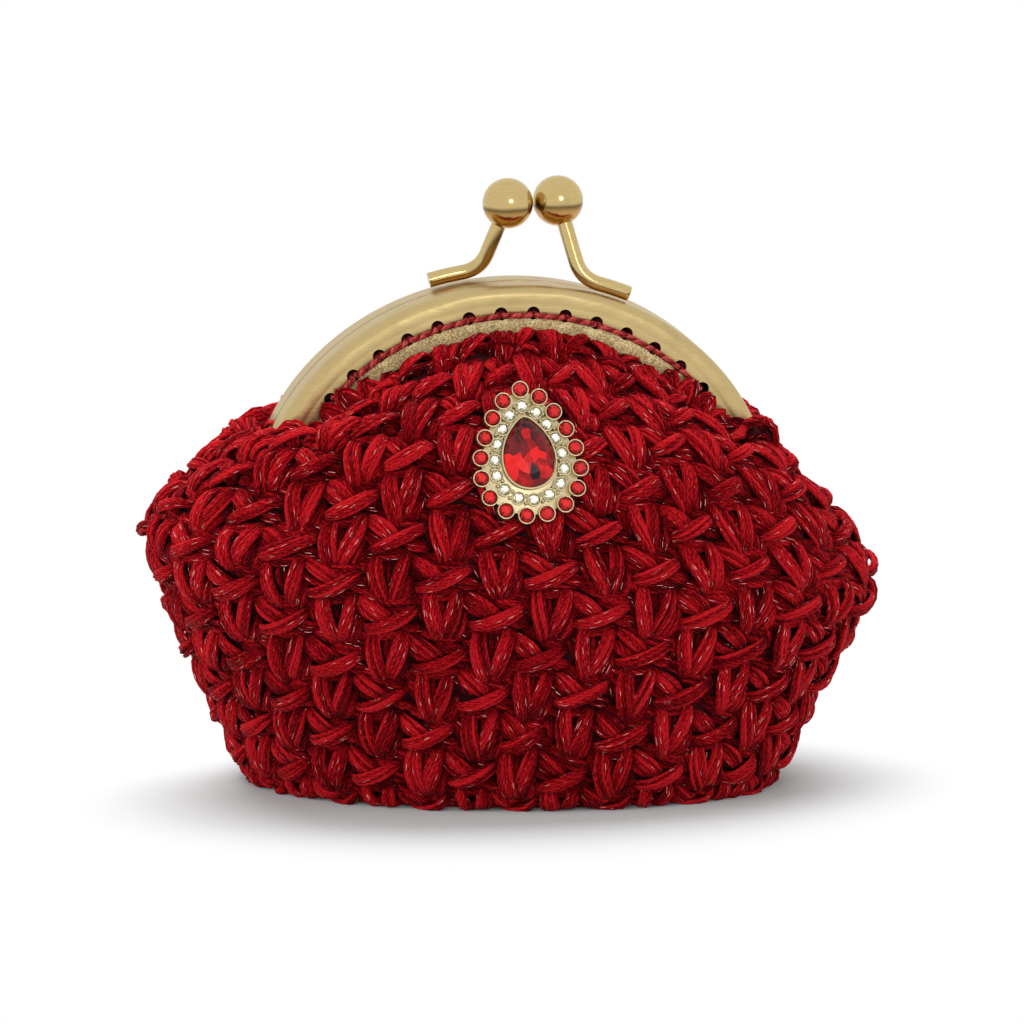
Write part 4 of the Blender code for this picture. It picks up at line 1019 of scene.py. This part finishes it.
def add_bands(tree, coords, colour, bumps):
    """A sandy lip below the holes, painted shade in the crease near the ends, and orange flux along the seam.
    """
    inward = maths(tree, "MULTIPLY", attribute(tree, "inward"), 0.1)
    from_end = maths(tree, "PINGPONG", attribute(tree, "along"), ARCH_MIDDLE)
    lip = ramp(tree, inward, [(0.49, 0), (0.56, 1)])
    grains = node(tree, "TexVoronoi", Vector=coords, Scale=3200.0).outputs["Distance"]
    sandy = ramp(tree, grains, [(0.1, (0.86, 0.72, 0.40)), (0.75, (0.36, 0.25, 0.09))])
    colour = mixed_colour(tree, lip, colour, sandy)
    # Painted shade: the crease near the ends is darkened in colour
    crease = ramp(tree, inward, [(0.25, 0), (0.30, 1), (0.36, 0)])
    near_end = ramp(tree, maths(tree, "MULTIPLY", from_end, 0.02), [(0.3, 0.8), (0.6, 0)])
    colour = mixed_colour(tree, maths(tree, "MULTIPLY", crease, near_end), colour, (0.20, 0.13, 0.05, 1))
    # The seam lies at Y = 0, and the flux between the clasp's feet
    behind = maths(tree, "MULTIPLY", node(tree, "SeparateXYZ", Vector=coords).outputs["Y"], -200)
    seam = ramp(tree, behind, [(0.0, 0), (0.05, 1), (0.26, 1), (0.42, 0)])
    spots = ramp(tree, noise(tree, coords, 260.0, 3.0), [(0.46, 0), (0.54, 1)])
    middle = ramp(tree, maths(tree, "MULTIPLY", from_end, 0.01), [(0.46, 0), (0.52, 0.9)])
    flux = maths(tree, "MULTIPLY", maths(tree, "MULTIPLY", seam, spots), middle)
    colour = mixed_colour(tree, flux, colour, (0.50, 0.25, 0.04, 1))
    return colour, maths(tree, "MULTIPLY_ADD", lip, grains, bumps), lip


def gold_material(name, colour, rough, dents, scratches, banded=False):
    material, tree, shader = new_material(name)
    coords = own_coords(tree)
    wide = noise(tree, coords, 130.0, 2.0)
    brushed = stretched(tree, coords, (300, 900, 4200), Rotation=(0, 0.6, 0))
    bumps = fine = noise(tree, brushed, 1.0, 3.0)
    result = ramp(tree, fine, [(0.3, tuple(c * 0.9 for c in colour)), (0.7, colour)])
    # Painted reflection and shade: brown undersides, on the pieces that have the attribute
    shade = maths(tree, "MULTIPLY_ADD", wide, 0.2, attribute(tree, "under"))
    painted_underside_share = ramp(tree, shade, [(0.12, 0), (0.26, 0.9), (0.46, 0.7), (0.75, 0.95)])
    painted_underside_browns = ramp(tree, shade, [(0.26, (0.11, 0.06, 0.02)), (0.58, (0.56, 0.29, 0.07))])
    result = mixed_colour(tree, painted_underside_share, result, painted_underside_browns)
    metallic = 1
    if banded:
        result, bumps, lip = add_bands(tree, coords, result, bumps)
        metallic = remap(tree, lip, 1, 0.35)
    low = bump(tree, wide, dents, 0.0006)
    fill(
        tree, shader,
        Base_Color=result,
        Metallic=metallic,
        Roughness=remap(tree, fine, rough * 0.7, rough * 1.4),
        Normal=bump(tree, bumps, scratches, 0.00003, Normal=low),
    )
    return material


plate_gold = gold_material("gold_plate", (0.58, 0.44, 0.20), 0.38, 0.75, 0.8, banded=True)
smooth_gold = gold_material("gold_polished", (0.62, 0.46, 0.20), 0.17, 0.12, 0.25)
setting_gold = gold_material("gold_setting", (0.60, 0.50, 0.29), 0.30, 0.2, 0.3)
for strip in (front_strip, rear_strip):
    strip.data.materials.append(plate_gold)
for name in ("left_rivet", "right_rivet"):
    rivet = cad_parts[name]
    rivet.data.materials.clear()
    rivet.data.materials.append(smooth_gold)
print("gold:", plate_gold.name, smooth_gold.name, setting_gold.name)

# %% [markdown]
# ## The clasp
#
# A ball needs a perfect round outline because it mirrors the whole room. Each one is a dense sphere,
# and its stem is a bent wire whose foot lies along the rim.

# %% Balls and stems
CLASP_OFFSET = 3.7
BALL_RADIUS = 4.2
BALL_ACROSS = 4.35
BALL_CROSSING = 0.8
BALL_HEIGHT = 98.0
WIRE_RADIUS = 1.25
WIRE_ABOVE = 0.3
BEND_LENGTH = 3.2
BEND_STEPS = 12
FOOT_STEPS = 6
# The wire ends this far from the ball's centre
SOCKET = 3.0
# How far across from the clasp's middle the bend and the foot's end lie
FRONT_REACH, REAR_REACH = (7.3, 15.0), (8.2, 16.6)


def ball_centre(hand, side):
    return np.array([CLASP_OFFSET + hand * BALL_ACROSS, -side * BALL_CROSSING, BALL_HEIGHT])


def polished_ball(name, hand, side):
    deselect()
    centre = ball_centre(hand, side) * MM
    bpy.ops.mesh.primitive_uv_sphere_add(segments=64, ring_count=40, radius=BALL_RADIUS * MM, location=centre)
    made = bpy.context.object
    made.name = made.data.name = name
    bpy.ops.object.transform_apply(location=True, rotation=True, scale=True)
    bpy.ops.object.shade_smooth()
    return made


def stem_path(hand, side, bend_reach, foot_reach):
    def on_rim(across):
        angle = math.acos((CLASP_OFFSET + hand * across) / ARCH_HALF_WIDTH)
        return arch_point(angle, -WIRE_RADIUS - WIRE_ABOVE, side * RIM_DEPTH / 2)

    corner = on_rim(bend_reach)
    centre = ball_centre(hand, side)
    rise = unit(centre - corner)
    foot_start = bend_reach + BEND_LENGTH
    foot = [on_rim(mix(foot_reach, foot_start, k / FOOT_STEPS)) for k in range(FOOT_STEPS + 1)]
    above = corner + rise * BEND_LENGTH
    bend = []
    for k in range(1, BEND_STEPS + 1):
        t = k / BEND_STEPS
        bend.append(mix(mix(foot[-1], corner, t), mix(corner, above, t), t))
    return np.array([*foot, *bend, centre - rise * SOCKET])


def tube(name, path, radius, resolution, closed=False):
    """A mesh of a round wire along a path in millimetres."""
    curve = bpy.data.curves.new(name, "CURVE")
    curve.dimensions = "3D"
    curve.bevel_depth = radius * MM
    curve.bevel_resolution = resolution
    curve.use_fill_caps = not closed
    spline = curve.splines.new("POLY")
    spline.points.add(len(path) - 1)
    for target, point in zip(spline.points, path):
        target.co = (*(point * MM), 1)
    spline.use_cyclic_u = closed
    pick(add_object(name, curve))
    bpy.ops.object.convert(target="MESH")
    return bpy.context.object


def bent_wire(name, hand, side, reach):
    made = tube(name, stem_path(hand, side, *reach), WIRE_RADIUS, 8)
    edit_all()
    bpy.ops.mesh.remove_doubles(threshold=0.00001)
    bpy.ops.mesh.normals_make_consistent(inside=False)
    bpy.ops.object.mode_set(mode="OBJECT")
    bpy.ops.object.shade_smooth_by_angle(angle=math.radians(50))
    return made


front_ball, rear_ball = polished_ball("front_clasp_ball", 1, -1), polished_ball("rear_clasp_ball", -1, 1)
front_stem = bent_wire("front_clasp_stem", 1, -1, FRONT_REACH)
rear_stem = bent_wire("rear_clasp_stem", -1, 1, REAR_REACH)
for piece in (front_ball, rear_ball, front_stem, rear_stem):
    piece.data.materials.append(smooth_gold)
    # Painted reflection and shade: the underside is browner the further a point faces down
    write_values(piece, "under", [max(-corner.normal.z, 0) for corner in piece.data.vertices])
print("clasp:", front_ball.name, rear_ball.name, front_stem.name, rear_stem.name)

# %% [markdown]
# ## The brooch
#
# The CAD stones give the places. Each stone is a short cylinder whose top face is extruded and
# shrunk twice, with a turn between, so that its sides break into facets. Foil-backed glass shows
# bright and dark facets at random, so every facet carries its own tone of painted highlight or
# shade, and the glass reads it and glows faintly with it, a painted glow.

# %% Prisms that grow in steps
def pick_top(piece):
    bpy.ops.object.mode_set(mode="OBJECT")
    top = max(face.center.z for face in piece.data.polygons)
    for face in piece.data.polygons:
        face.select = face.center.z > top - 1e-6
    bpy.ops.object.mode_set(mode="EDIT")


def extrude(rise):
    bpy.ops.mesh.extrude_region_move(TRANSFORM_OT_translate={"value": (0, 0, rise * MM)})


def step_up(piece, rise, shrink, turn):
    """Extrudes the top, then shrinks and turns it."""
    pick_top(piece)
    extrude(rise)
    bpy.ops.transform.resize(value=(shrink, shrink, 1), center_override=(0, 0, 0))
    bpy.ops.transform.rotate(value=turn, orient_axis="Z", center_override=(0, 0, 0))


def start_prism(name, sides, radius, low, high):
    deselect()
    bpy.ops.mesh.primitive_cylinder_add(
        vertices=sides, radius=radius * MM, depth=(high - low) * MM, location=(0, 0, (low + high) / 2 * MM)
    )
    made = bpy.context.object
    made.name = made.data.name = name
    bpy.ops.object.transform_apply(location=True, rotation=True, scale=True)
    bpy.ops.object.mode_set(mode="EDIT")
    bpy.ops.mesh.select_mode(type="FACE")
    return made


def to_triangles():
    bpy.ops.mesh.select_all(action="SELECT")
    bpy.ops.mesh.quads_convert_to_tris()
    bpy.ops.object.mode_set(mode="OBJECT")


def move_by(piece, spot):
    """Moves the mesh to a spot's place across and up; its height stays."""
    piece.data.transform(Matrix.Translation(Vector((*spot[:2], 0)) * MM))


# %% Foil-backed glass
def glass_material(name, stops, rough, coat):
    material, tree, shader = new_material(name)
    cloudy = noise(tree, own_coords(tree), 1100.0, 1.0)
    # Painted highlight and shade from the facet tones, with a faint painted glow in the same colour
    tint = ramp(tree, maths(tree, "MULTIPLY_ADD", cloudy, 0.35, attribute(tree, "facet")), stops)
    fill(
        tree, shader,
        Base_Color=tint,
        Emission_Color=tint,
        Emission_Strength=0.05,
        Roughness=rough,
        Metallic=0.25,
        Coat_Weight=coat,
        Coat_Roughness=0.06,
        Specular_IOR_Level=0.25,
    )
    return material


# Each ramp runs from a facet in painted shade to a facet with a painted highlight
RUBY_TONES = [
    (0.20, (0.008, 0.001, 0.001)), (0.36, (0.07, 0.005, 0.006)),
    (0.70, (0.18, 0.001, 0.002)), (1.0, (0.52, 0.006, 0.006)),
]
GARNET_TONES = [(0.2, (0.03, 0.001, 0.001)), (0.7, (0.16, 0.001, 0.002)), (1.0, (0.45, 0.008, 0.008))]
CHAMPAGNE_TONES = [(0.2, (0.14, 0.13, 0.07)), (0.75, (0.42, 0.40, 0.27)), (1.0, (0.85, 0.84, 0.72))]
ruby = glass_material("ruby_glass", RUBY_TONES, 0.14, 0.15)
garnet = glass_material("small_red_glass", GARNET_TONES, 0.2, 0.12)
champagne = glass_material("champagne_glass", CHAMPAGNE_TONES, 0.12, 0.6)
print("glass:", ruby.name, garnet.name, champagne.name)

# %% The two rings of stones
# Radius, height of the girdle and of the top
RED_CUT, CLEAR_CUT = (1.15, 1.77, 2.46), (0.88, 1.5, 2.03)
FACETS = 12


def cut_stone(name, radius, girdle, top):
    made = start_prism(name, FACETS, radius, STONE_FLOOR, girdle)
    step_up(made, (top - girdle) * 0.62, 0.80, math.pi / FACETS)
    step_up(made, (top - girdle) * 0.38, 0.66, math.pi / FACETS)
    to_triangles()
    return made


def set_stones(model, names, spots, material):
    """A copy of the model at every spot, each with its own mesh and its own tones of painted highlight and
    shade.
    """
    made = []
    for name, spot in zip(names, local(spots)):
        piece = copy_of(model, "cut_" + name)
        heights = np.array([face.normal.z for face in piece.data.polygons])
        # Painted highlight on the top facet, and painted highlight or shade at random on the others
        tones = np.where(heights > 0.95, 0.8, RANDOM.uniform(0.15, 1, len(heights)))
        write_values(piece, "facet", tones, "FACE")
        piece.data.transform(Matrix.Rotation(RANDOM.uniform(0, 6.28), 4, "Z"))
        move_by(piece, spot)
        piece.data.transform(PLACE)
        piece.data.materials.append(material)
        made.append(piece)
    bpy.data.objects.remove(model)
    return made


red_stones = set_stones(cut_stone("red_cut", *RED_CUT), red_names, red_spots, garnet)
clear_stones = set_stones(cut_stone("clear_cut", *CLEAR_CUT), clear_names, clear_spots, champagne)
print(len(red_stones), "red and", len(clear_stones), "clear stones")

# %% The tear-shaped gem
GEM_HALF = (4.1, 5.8)
GEM_SIDES = 20
GEM_TAPER, GEM_POINT = 0.22, 0.3
# Prisms that become an egg start with this radius, so that their points are a unit circle in metres
UNIT_RADIUS = 1000
# Places on the stone, across and up as shares of its half sizes, with the painted highlight or shade seen
# there
GLEAMS = np.array([
    (-0.35, 0.55, 0.16), (0.0, 0.85, 0.12), (0.0, 0.42, 0.62), (0.3, 0.5, 0.14), (0.55, 0.25, 0.3),
    (-0.62, 0.15, 0.3), (0.0, 0.1, 0.55), (-0.2, 0.15, 0.3), (0.32, -0.12, 1.0), (-0.45, -0.25, 0.8),
    (-0.1, -0.35, 0.7), (-0.7, -0.3, 0.85), (0.12, -0.62, 0.03), (-0.25, -0.75, 0.55),
    (0.55, -0.5, 0.72), (0.8, -0.2, 0.45), (0.1, -0.9, 0.3), (0.35, -0.4, 0.6),
])


def egg_shape(points, wide, high, taper, point):
    """Turns points of a unit circle into an egg that may come to a point at the top."""
    y = points[:, 1]
    narrowed = (1 - taper * y) * (1 - point * np.clip(y, 0, 1) ** 3)
    return np.column_stack([points[:, 0] * (wide * narrowed), y * high])


def make_egg(piece, *shape):
    points = np.array([corner.co for corner in piece.data.vertices])
    flat = egg_shape(points[:, :2], *shape)
    piece.data.vertices.foreach_set("co", np.column_stack([flat, points[:, 2]]).ravel())
    piece.data.update()


def tear_gem():
    made = start_prism("tear_cut_gem", GEM_SIDES, UNIT_RADIUS, STONE_FLOOR, 1.92)
    step_up(made, 0.75, 0.82, 0)
    step_up(made, 0.45, 0.80, math.pi / GEM_SIDES)
    extrude(0.05)
    bpy.ops.transform.resize(value=(0.55, 0.55, 1), center_override=(0, 0, 0))
    bpy.ops.transform.rotate(value=math.pi / GEM_SIDES, orient_axis="Z", center_override=(0, 0, 0))
    bpy.ops.mesh.poke(offset=0.00002)
    to_triangles()
    make_egg(made, GEM_HALF[0] * MM, GEM_HALF[1] * MM, GEM_TAPER, GEM_POINT)
    return made


gem = tear_gem()
centres = np.array([face.center for face in gem.data.polygons]) / MM / (*GEM_HALF, 1)
nearest = np.linalg.norm(centres[:, None, :2] - GLEAMS[None, :, :2], axis=2).argmin(1)
write_values(gem, "facet", GLEAMS[nearest, 2] + RANDOM.uniform(-0.08, 0.08, len(nearest)), "FACE")
gem.data.transform(PLACE)
gem.data.materials.append(ruby)
print("gem:", len(gem.data.polygons), "facets")

# %% [markdown]
# The setting is an egg-shaped plate with a thin round cup under every stone. The cups of the
# red stones stick out past the plate, which gives the brooch its scalloped edge. Tiny beads of metal
# between the clear stones hold them.

# %% The setting
PLATE_HALF = (7.6, 10.3)
PLATE_TAPER = 0.33
PLATE_THICK = 1.0
BEZEL_HALF = (4.32, 6.0)
BEZEL_HEIGHT = 1.95
BEZEL_STEPS = 72
RED_CUP, CLEAR_CUP = (1.15, 1.95), (0.88, 1.55)
BEAD_RADIUS = 0.34
BEAD_HEIGHT = 1.5


def rounded_edges(piece, width):
    bevel = piece.modifiers.new("edges", "BEVEL")
    bevel.width = width * MM
    bevel.segments = 2
    bevel.limit_method = "ANGLE"
    apply_all(piece)


def cup(name, radius, high):
    made = start_prism(name, 20, radius + 0.28, 0.25, high)
    pick_top(made)
    bpy.ops.mesh.inset(thickness=0.2 * MM)
    extrude(-0.5)
    bpy.ops.object.mode_set(mode="OBJECT")
    rounded_edges(made, 0.05)
    return made


def copies(model, spots):
    made = [copy_of(model) for _ in spots]
    for piece, spot in zip(made, spots):
        move_by(piece, spot)
    bpy.data.objects.remove(model)
    return made


def egg_plate():
    made = start_prism("setting_plate", 64, UNIT_RADIUS, 0, PLATE_THICK)
    bpy.ops.object.mode_set(mode="OBJECT")
    make_egg(made, PLATE_HALF[0] * MM, PLATE_HALF[1] * MM, PLATE_TAPER, 0)
    rounded_edges(made, 0.2)
    return made


def gem_bezel():
    turn = np.linspace(0, 2 * np.pi, BEZEL_STEPS + 1)[:-1]
    ring = egg_shape(np.column_stack([np.cos(turn), np.sin(turn)]), *BEZEL_HALF, GEM_TAPER, GEM_POINT)
    return tube("gem_bezel", np.column_stack([ring, np.full(len(ring), BEZEL_HEIGHT)]), 0.2, 3, closed=True)


def bead():
    deselect()
    bpy.ops.mesh.primitive_ico_sphere_add(
        subdivisions=2, radius=BEAD_RADIUS * MM, location=(0, 0, BEAD_HEIGHT * MM)
    )
    bpy.ops.object.transform_apply(location=True, rotation=True, scale=True)
    return bpy.context.object


def bead_spots():
    """Two beads between each pair of clear stones, one further out and one further in."""
    ring = local(clear_spots)[:, :2]
    between = (ring + np.roll(ring, -1, 0)) / 2
    away = unit(between)
    return np.concatenate([between + away * 0.75, between - away * 0.45])


setting = join([
    egg_plate(), gem_bezel(), *copies(bead(), bead_spots()),
    *copies(cup("red_cup", *RED_CUP), local(red_spots)),
    *copies(cup("clear_cup", *CLEAR_CUP), local(clear_spots)),
])
setting.name = setting.data.name = "brooch_back_and_cups"
bpy.ops.object.shade_smooth_by_angle(angle=math.radians(40))
setting.data.transform(PLACE)
setting.data.materials.append(setting_gold)
print("setting:", len(setting.data.polygons), "faces")

# %% [markdown]
# ## The sewing thread
#
# The thread is sewn in backstitch: every stitch in front steps one hole back, and behind the plate it
# steps two holes on. Three thin plies twist round that path.

# %% The path through the holes
# Half the gap between two passes through one hole, and how far the thread lies in front of the seam
APART = 0.46
FRONT_LAYER = 7.2
BACK_LAYERS = (3.14, 2.32)
BELOW_HOLES = -0.3


def stitch_place(angle, along, above, side, depth):
    spot = arch_point(angle, HOLE_INSET - above, side * depth)
    ahead = arch_point(angle + 0.008, HOLE_INSET - above, side * depth) - spot
    return spot + unit(ahead) * along


def backstitch(side):
    holes = hole_angles()
    path = []
    for k in range(1, HOLE_COUNT):
        layer, following = BACK_LAYERS[k % 2], BACK_LAYERS[(k + 1) % 2]
        path.append(stitch_place(holes[k], -APART, BELOW_HOLES, side, layer))
        path.append(stitch_place(holes[k], -APART, BELOW_HOLES, side, FRONT_LAYER))
        path.append(stitch_place(holes[k - 1], APART, BELOW_HOLES, side, FRONT_LAYER))
        if k + 1 < HOLE_COUNT:
            path.append(stitch_place(holes[k - 1], APART, BELOW_HOLES, side, following))
            path.append(stitch_place(holes[k], 0, 1.02, side, following))
    path.append(stitch_place(holes[-2], APART, BELOW_HOLES, side, BACK_LAYERS[0]))
    return np.array(path)


print(f"path of one thread: {walk(backstitch(-1))[-1]:.0f} mm")


# %% Twist the plies round it
PLIES = 3
PLY_OFFSET = 0.24
PLY_RADIUS = 0.29
PLY_TURN = 2.2
PLY_STEP = 0.3


def evenly(path, gap):
    walked = walk(path)
    wanted = np.linspace(0, walked[-1], int(walked[-1] / gap))
    return np.stack([np.interp(wanted, walked, path[:, axis]) for axis in range(3)], -1)


def carried_normals(along):
    """A direction across the path that turns as little as it can."""
    normals = np.empty_like(along)
    carried = np.array([0.2, 0.9, 0.1])
    for k, step in enumerate(along):
        carried = unit(carried - step * (carried @ step))
        normals[k] = carried
    return normals


def twisted_thread(name, side):
    path = evenly(backstitch(side), PLY_STEP)
    for _ in range(2):
        path[1:-1] = (path[:-2] + 2 * path[1:-1] + path[2:]) / 4
    along = unit(np.gradient(path, axis=0))
    normal = carried_normals(along)
    across = np.cross(along, normal)
    plies = []
    for k in range(PLIES):
        angle = (np.arange(len(path)) * PLY_STEP / PLY_TURN * 2 * np.pi + k * 2 * np.pi / PLIES)[:, None]
        plies.append(path + PLY_OFFSET * (across * np.cos(angle) + normal * np.sin(angle)))
    radii = np.full((PLIES, len(path)), PLY_RADIUS) * RANDOM.uniform(0.92, 1.08, (PLIES, len(path)))
    tones = np.repeat([[0.1], [0.5], [0.9]], len(path), 1)
    made = strands_mesh(name, np.array(plies), np.repeat(normal[None], PLIES, 0), radii, tones)
    made.data.materials.append(sewing_yarn)
    return made


sewing_yarn = yarn_material(
    "dusty_red_thread", (0.03, 0.002, 0.002), (0.17, 0.010, 0.010), (0.36, 0.05, 0.045), 0.02
)
front_thread, rear_thread = twisted_thread("front_sewing_thread", -1), twisted_thread("rear_sewing_thread", 1)
print("thread:", len(front_thread.data.polygons), "faces each")

# %% [markdown]
# ## What each piece moves with
#
# The sole is attached to the bag, which stays on the table. The other crochet pieces, the shells
# and the linings keep their places.


def bend_with(piece):
    """Bakes the piece's place into its mesh."""
    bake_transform(piece)


def split_halves(piece, names):
    """Cuts a shell of the whole bag into a front and a rear half along the XZ plane."""
    made = [copy_of(piece, name) for name in names]
    for part, keep_front in zip(made, (True, False)):
        pick(part)
        edit_all()
        bpy.ops.mesh.bisect(
            plane_co=(0, 0, 0), plane_no=(0, 1, 0), use_fill=True,
            clear_outer=keep_front, clear_inner=not keep_front,
        )
        bpy.ops.object.mode_set(mode="OBJECT")
    bpy.data.objects.remove(piece)
    return made


for name, piece in crochet.items():
    if name.startswith("front"):
        bend_with(piece)
    elif name.startswith("rear"):
        bend_with(piece)
    else:
        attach(piece, "bag")
shade_shells = split_halves(shade_shell, ("painted_shade_shell_front", "painted_shade_shell_rear"))
linings = split_halves(lining, ("satin_lining_front", "satin_lining_rear"))
for front, rear, slot, depth in (
    (*shade_shells, "crimson_yarn", SHADE_SHELL_DEPTH), (*linings, "maroon_lining", LINING_DEPTH),
):
    bend_with(front)
    bend_with(rear)
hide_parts("crochet_front")
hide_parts("crochet_rear")
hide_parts("crochet_pouch")
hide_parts("lining_front", "lining_pouch")
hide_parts("lining_rear")
print("bending pieces:", len(crochet) - 1 + len(shade_shells) + len(linings))

# %% Firm pieces ride on their halves
RIDERS = (
    ("front_half", front_loops, None, "crimson_yarn"),
    ("rear_half", rear_loops, None, "crimson_yarn"),
    ("front_half", front_strip, "front_frame", "pale_gold"),
    ("rear_half", rear_strip, "rear_frame", "pale_gold"),
    ("front_half", front_ball, "front_ball", "pale_gold"),
    ("rear_half", rear_ball, "rear_ball", "pale_gold"),
    ("front_half", front_stem, "front_stem", "pale_gold"),
    ("rear_half", rear_stem, "rear_stem", "pale_gold"),
    ("front_half", front_thread, "front_thread", "red_thread"),
    ("rear_half", rear_thread, "rear_thread", "red_thread"),
    ("front_half", setting, "brooch_setting", "pale_gold"),
    ("front_half", gem, "teardrop_gem", "red_glass"),
    *(("front_half", piece, name, "red_glass") for piece, name in zip(red_stones, red_names)),
    *(("front_half", piece, name, "clear_glass") for piece, name in zip(clear_stones, clear_names)),
)
for body, piece, replaced, slot in RIDERS:
    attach(piece, body)
    if replaced:
        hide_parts(replaced)
print("riding pieces:", len(RIDERS))

# %% [markdown]
# ## Floor, light and camera
#
# The purse stands on a floor that takes its shadow. Near the purse the floor is grey, a painted
# shadow in an oval round it that fades to white further out. Soft boxes light it from above, the
# front and both sides. The camera, and what metal and glass mirror, see white past the floor, and all
# other light from the sky is dimmer.

# %% Floor and surround
WHITE = (1, 1, 1, 1)
FLOOR_SIZE = 6
SHADOW_FADE_START, SHADOW_FADE_END = 0.046, 0.102


def seen_directly(tree):
    """1 for rays from the camera and for the ones that metal and glass send on, else 0."""
    rays = node(tree, "LightPath").outputs
    seen = maths(tree, "MAXIMUM", rays["Is Camera Ray"], rays["Is Glossy Ray"])
    return maths(tree, "MAXIMUM", seen, rays["Is Transmission Ray"])


def mixed_shader(tree, share, first, second):
    made = node(tree, "MixShader")
    for socket, source in zip(made.inputs, (share, first, second)):
        feed(tree, socket, source)
    return made.outputs[0]


def floor_material():
    material, tree, shader = new_material("floor_with_painted_shadow")
    # Painted shadow: the floor is grey near the purse, and the oval below fades it to white
    fill(tree, shader, Base_Color=(0.45, 0.455, 0.455, 1), Roughness=0.9, Specular_IOR_Level=0.1)
    flatter = stretched(tree, own_coords(tree), (1.0, 1.4, 1.0))
    distance = node(tree, "VectorMath", operation="LENGTH")
    feed(tree, distance.inputs[0], flatter)
    shadow_fade = node(
        tree, "MapRange", interpolation_type="SMOOTHSTEP",
        Value=distance.outputs["Value"], From_Min=SHADOW_FADE_START, From_Max=SHADOW_FADE_END,
    )
    seen = maths(tree, "MULTIPLY", shadow_fade.outputs["Result"], seen_directly(tree))
    white = node(tree, "Emission", Strength=1.0, Color=WHITE).outputs[0]
    surface = mixed_shader(tree, seen, shader.outputs[0], white)
    tree.links.new(surface, tree.nodes["Material Output"].inputs["Surface"])
    return material


deselect()
bpy.ops.mesh.primitive_plane_add(size=FLOOR_SIZE, location=(0, 0, 0))
floor = bpy.context.object
floor.name = floor.data.name = "studio_floor"
floor.data.materials.append(floor_material())
print("floor:", floor.name)

# %% World and lamps
world = bpy.data.worlds.new("studio")
bpy.context.scene.world = world
world.use_nodes = True
tree = world.node_tree
sky = tree.nodes["Background"]
fill(tree, sky, Color=WHITE, Strength=0.34)
clear = node(tree, "Background", Color=WHITE, Strength=1.0)
surface = mixed_shader(tree, seen_directly(tree), sky.outputs[0], clear.outputs[0])
tree.links.new(surface, tree.nodes["World Output"].inputs["Surface"])


def softbox(name, place, size, power, mirrored=False):
    lamp = bpy.data.lights.new(name, "AREA")
    lamp.shape = "RECTANGLE"
    lamp.size, lamp.size_y = size
    lamp.energy = power
    made = add_object(name, lamp)
    made.visible_glossy = mirrored
    made.location = place
    made.rotation_euler = (Vector((0, 0, 0.05)) - Vector(place)).to_track_quat("-Z", "Y").to_euler()
    return made


LAMPS = [
    softbox("key_light", (-0.3, -0.95, 0.45), (0.7, 0.6), 6),
    softbox("sparkle_light", (0.1, -0.95, 0.40), (0.22, 0.22), 0.9, mirrored=True),
    softbox("top_light", (0.0, 0.22, 0.60), (0.8, 0.5), 10.5),
    softbox("right_light", (0.8, -0.30, 0.28), (0.5, 0.5), 5.8),
    softbox("left_light", (-0.8, -0.25, 0.28), (0.5, 0.5), 6.2),
]
print("lamps:", len(LAMPS))

# %% Camera
YAW, RISE = math.radians(9.5), math.radians(11)
FAR = 1.2
TARGET = Vector((0.0002, 0, 0.04576))
SENSOR = 36
# Millimetres that one pixel shows at the target, and the picture's pixels
SCALE, PIXELS = 0.167, 1024
camera_data = bpy.data.cameras.new("camera")
camera = add_object("camera", camera_data)
toward = Vector((math.sin(YAW) * math.cos(RISE), math.cos(YAW) * math.cos(RISE), -math.sin(RISE)))
camera.location = TARGET - toward * FAR
camera.rotation_euler = toward.to_track_quat("-Z", "Y").to_euler()
camera_data.sensor_width = SENSOR
camera_data.lens = SENSOR * FAR / (PIXELS * SCALE * MM)
camera_data.clip_end = 20
bpy.context.scene.camera = camera
bpy.context.scene.view_settings.view_transform = "Standard"
print(f"camera: lens {camera_data.lens:.0f} mm")
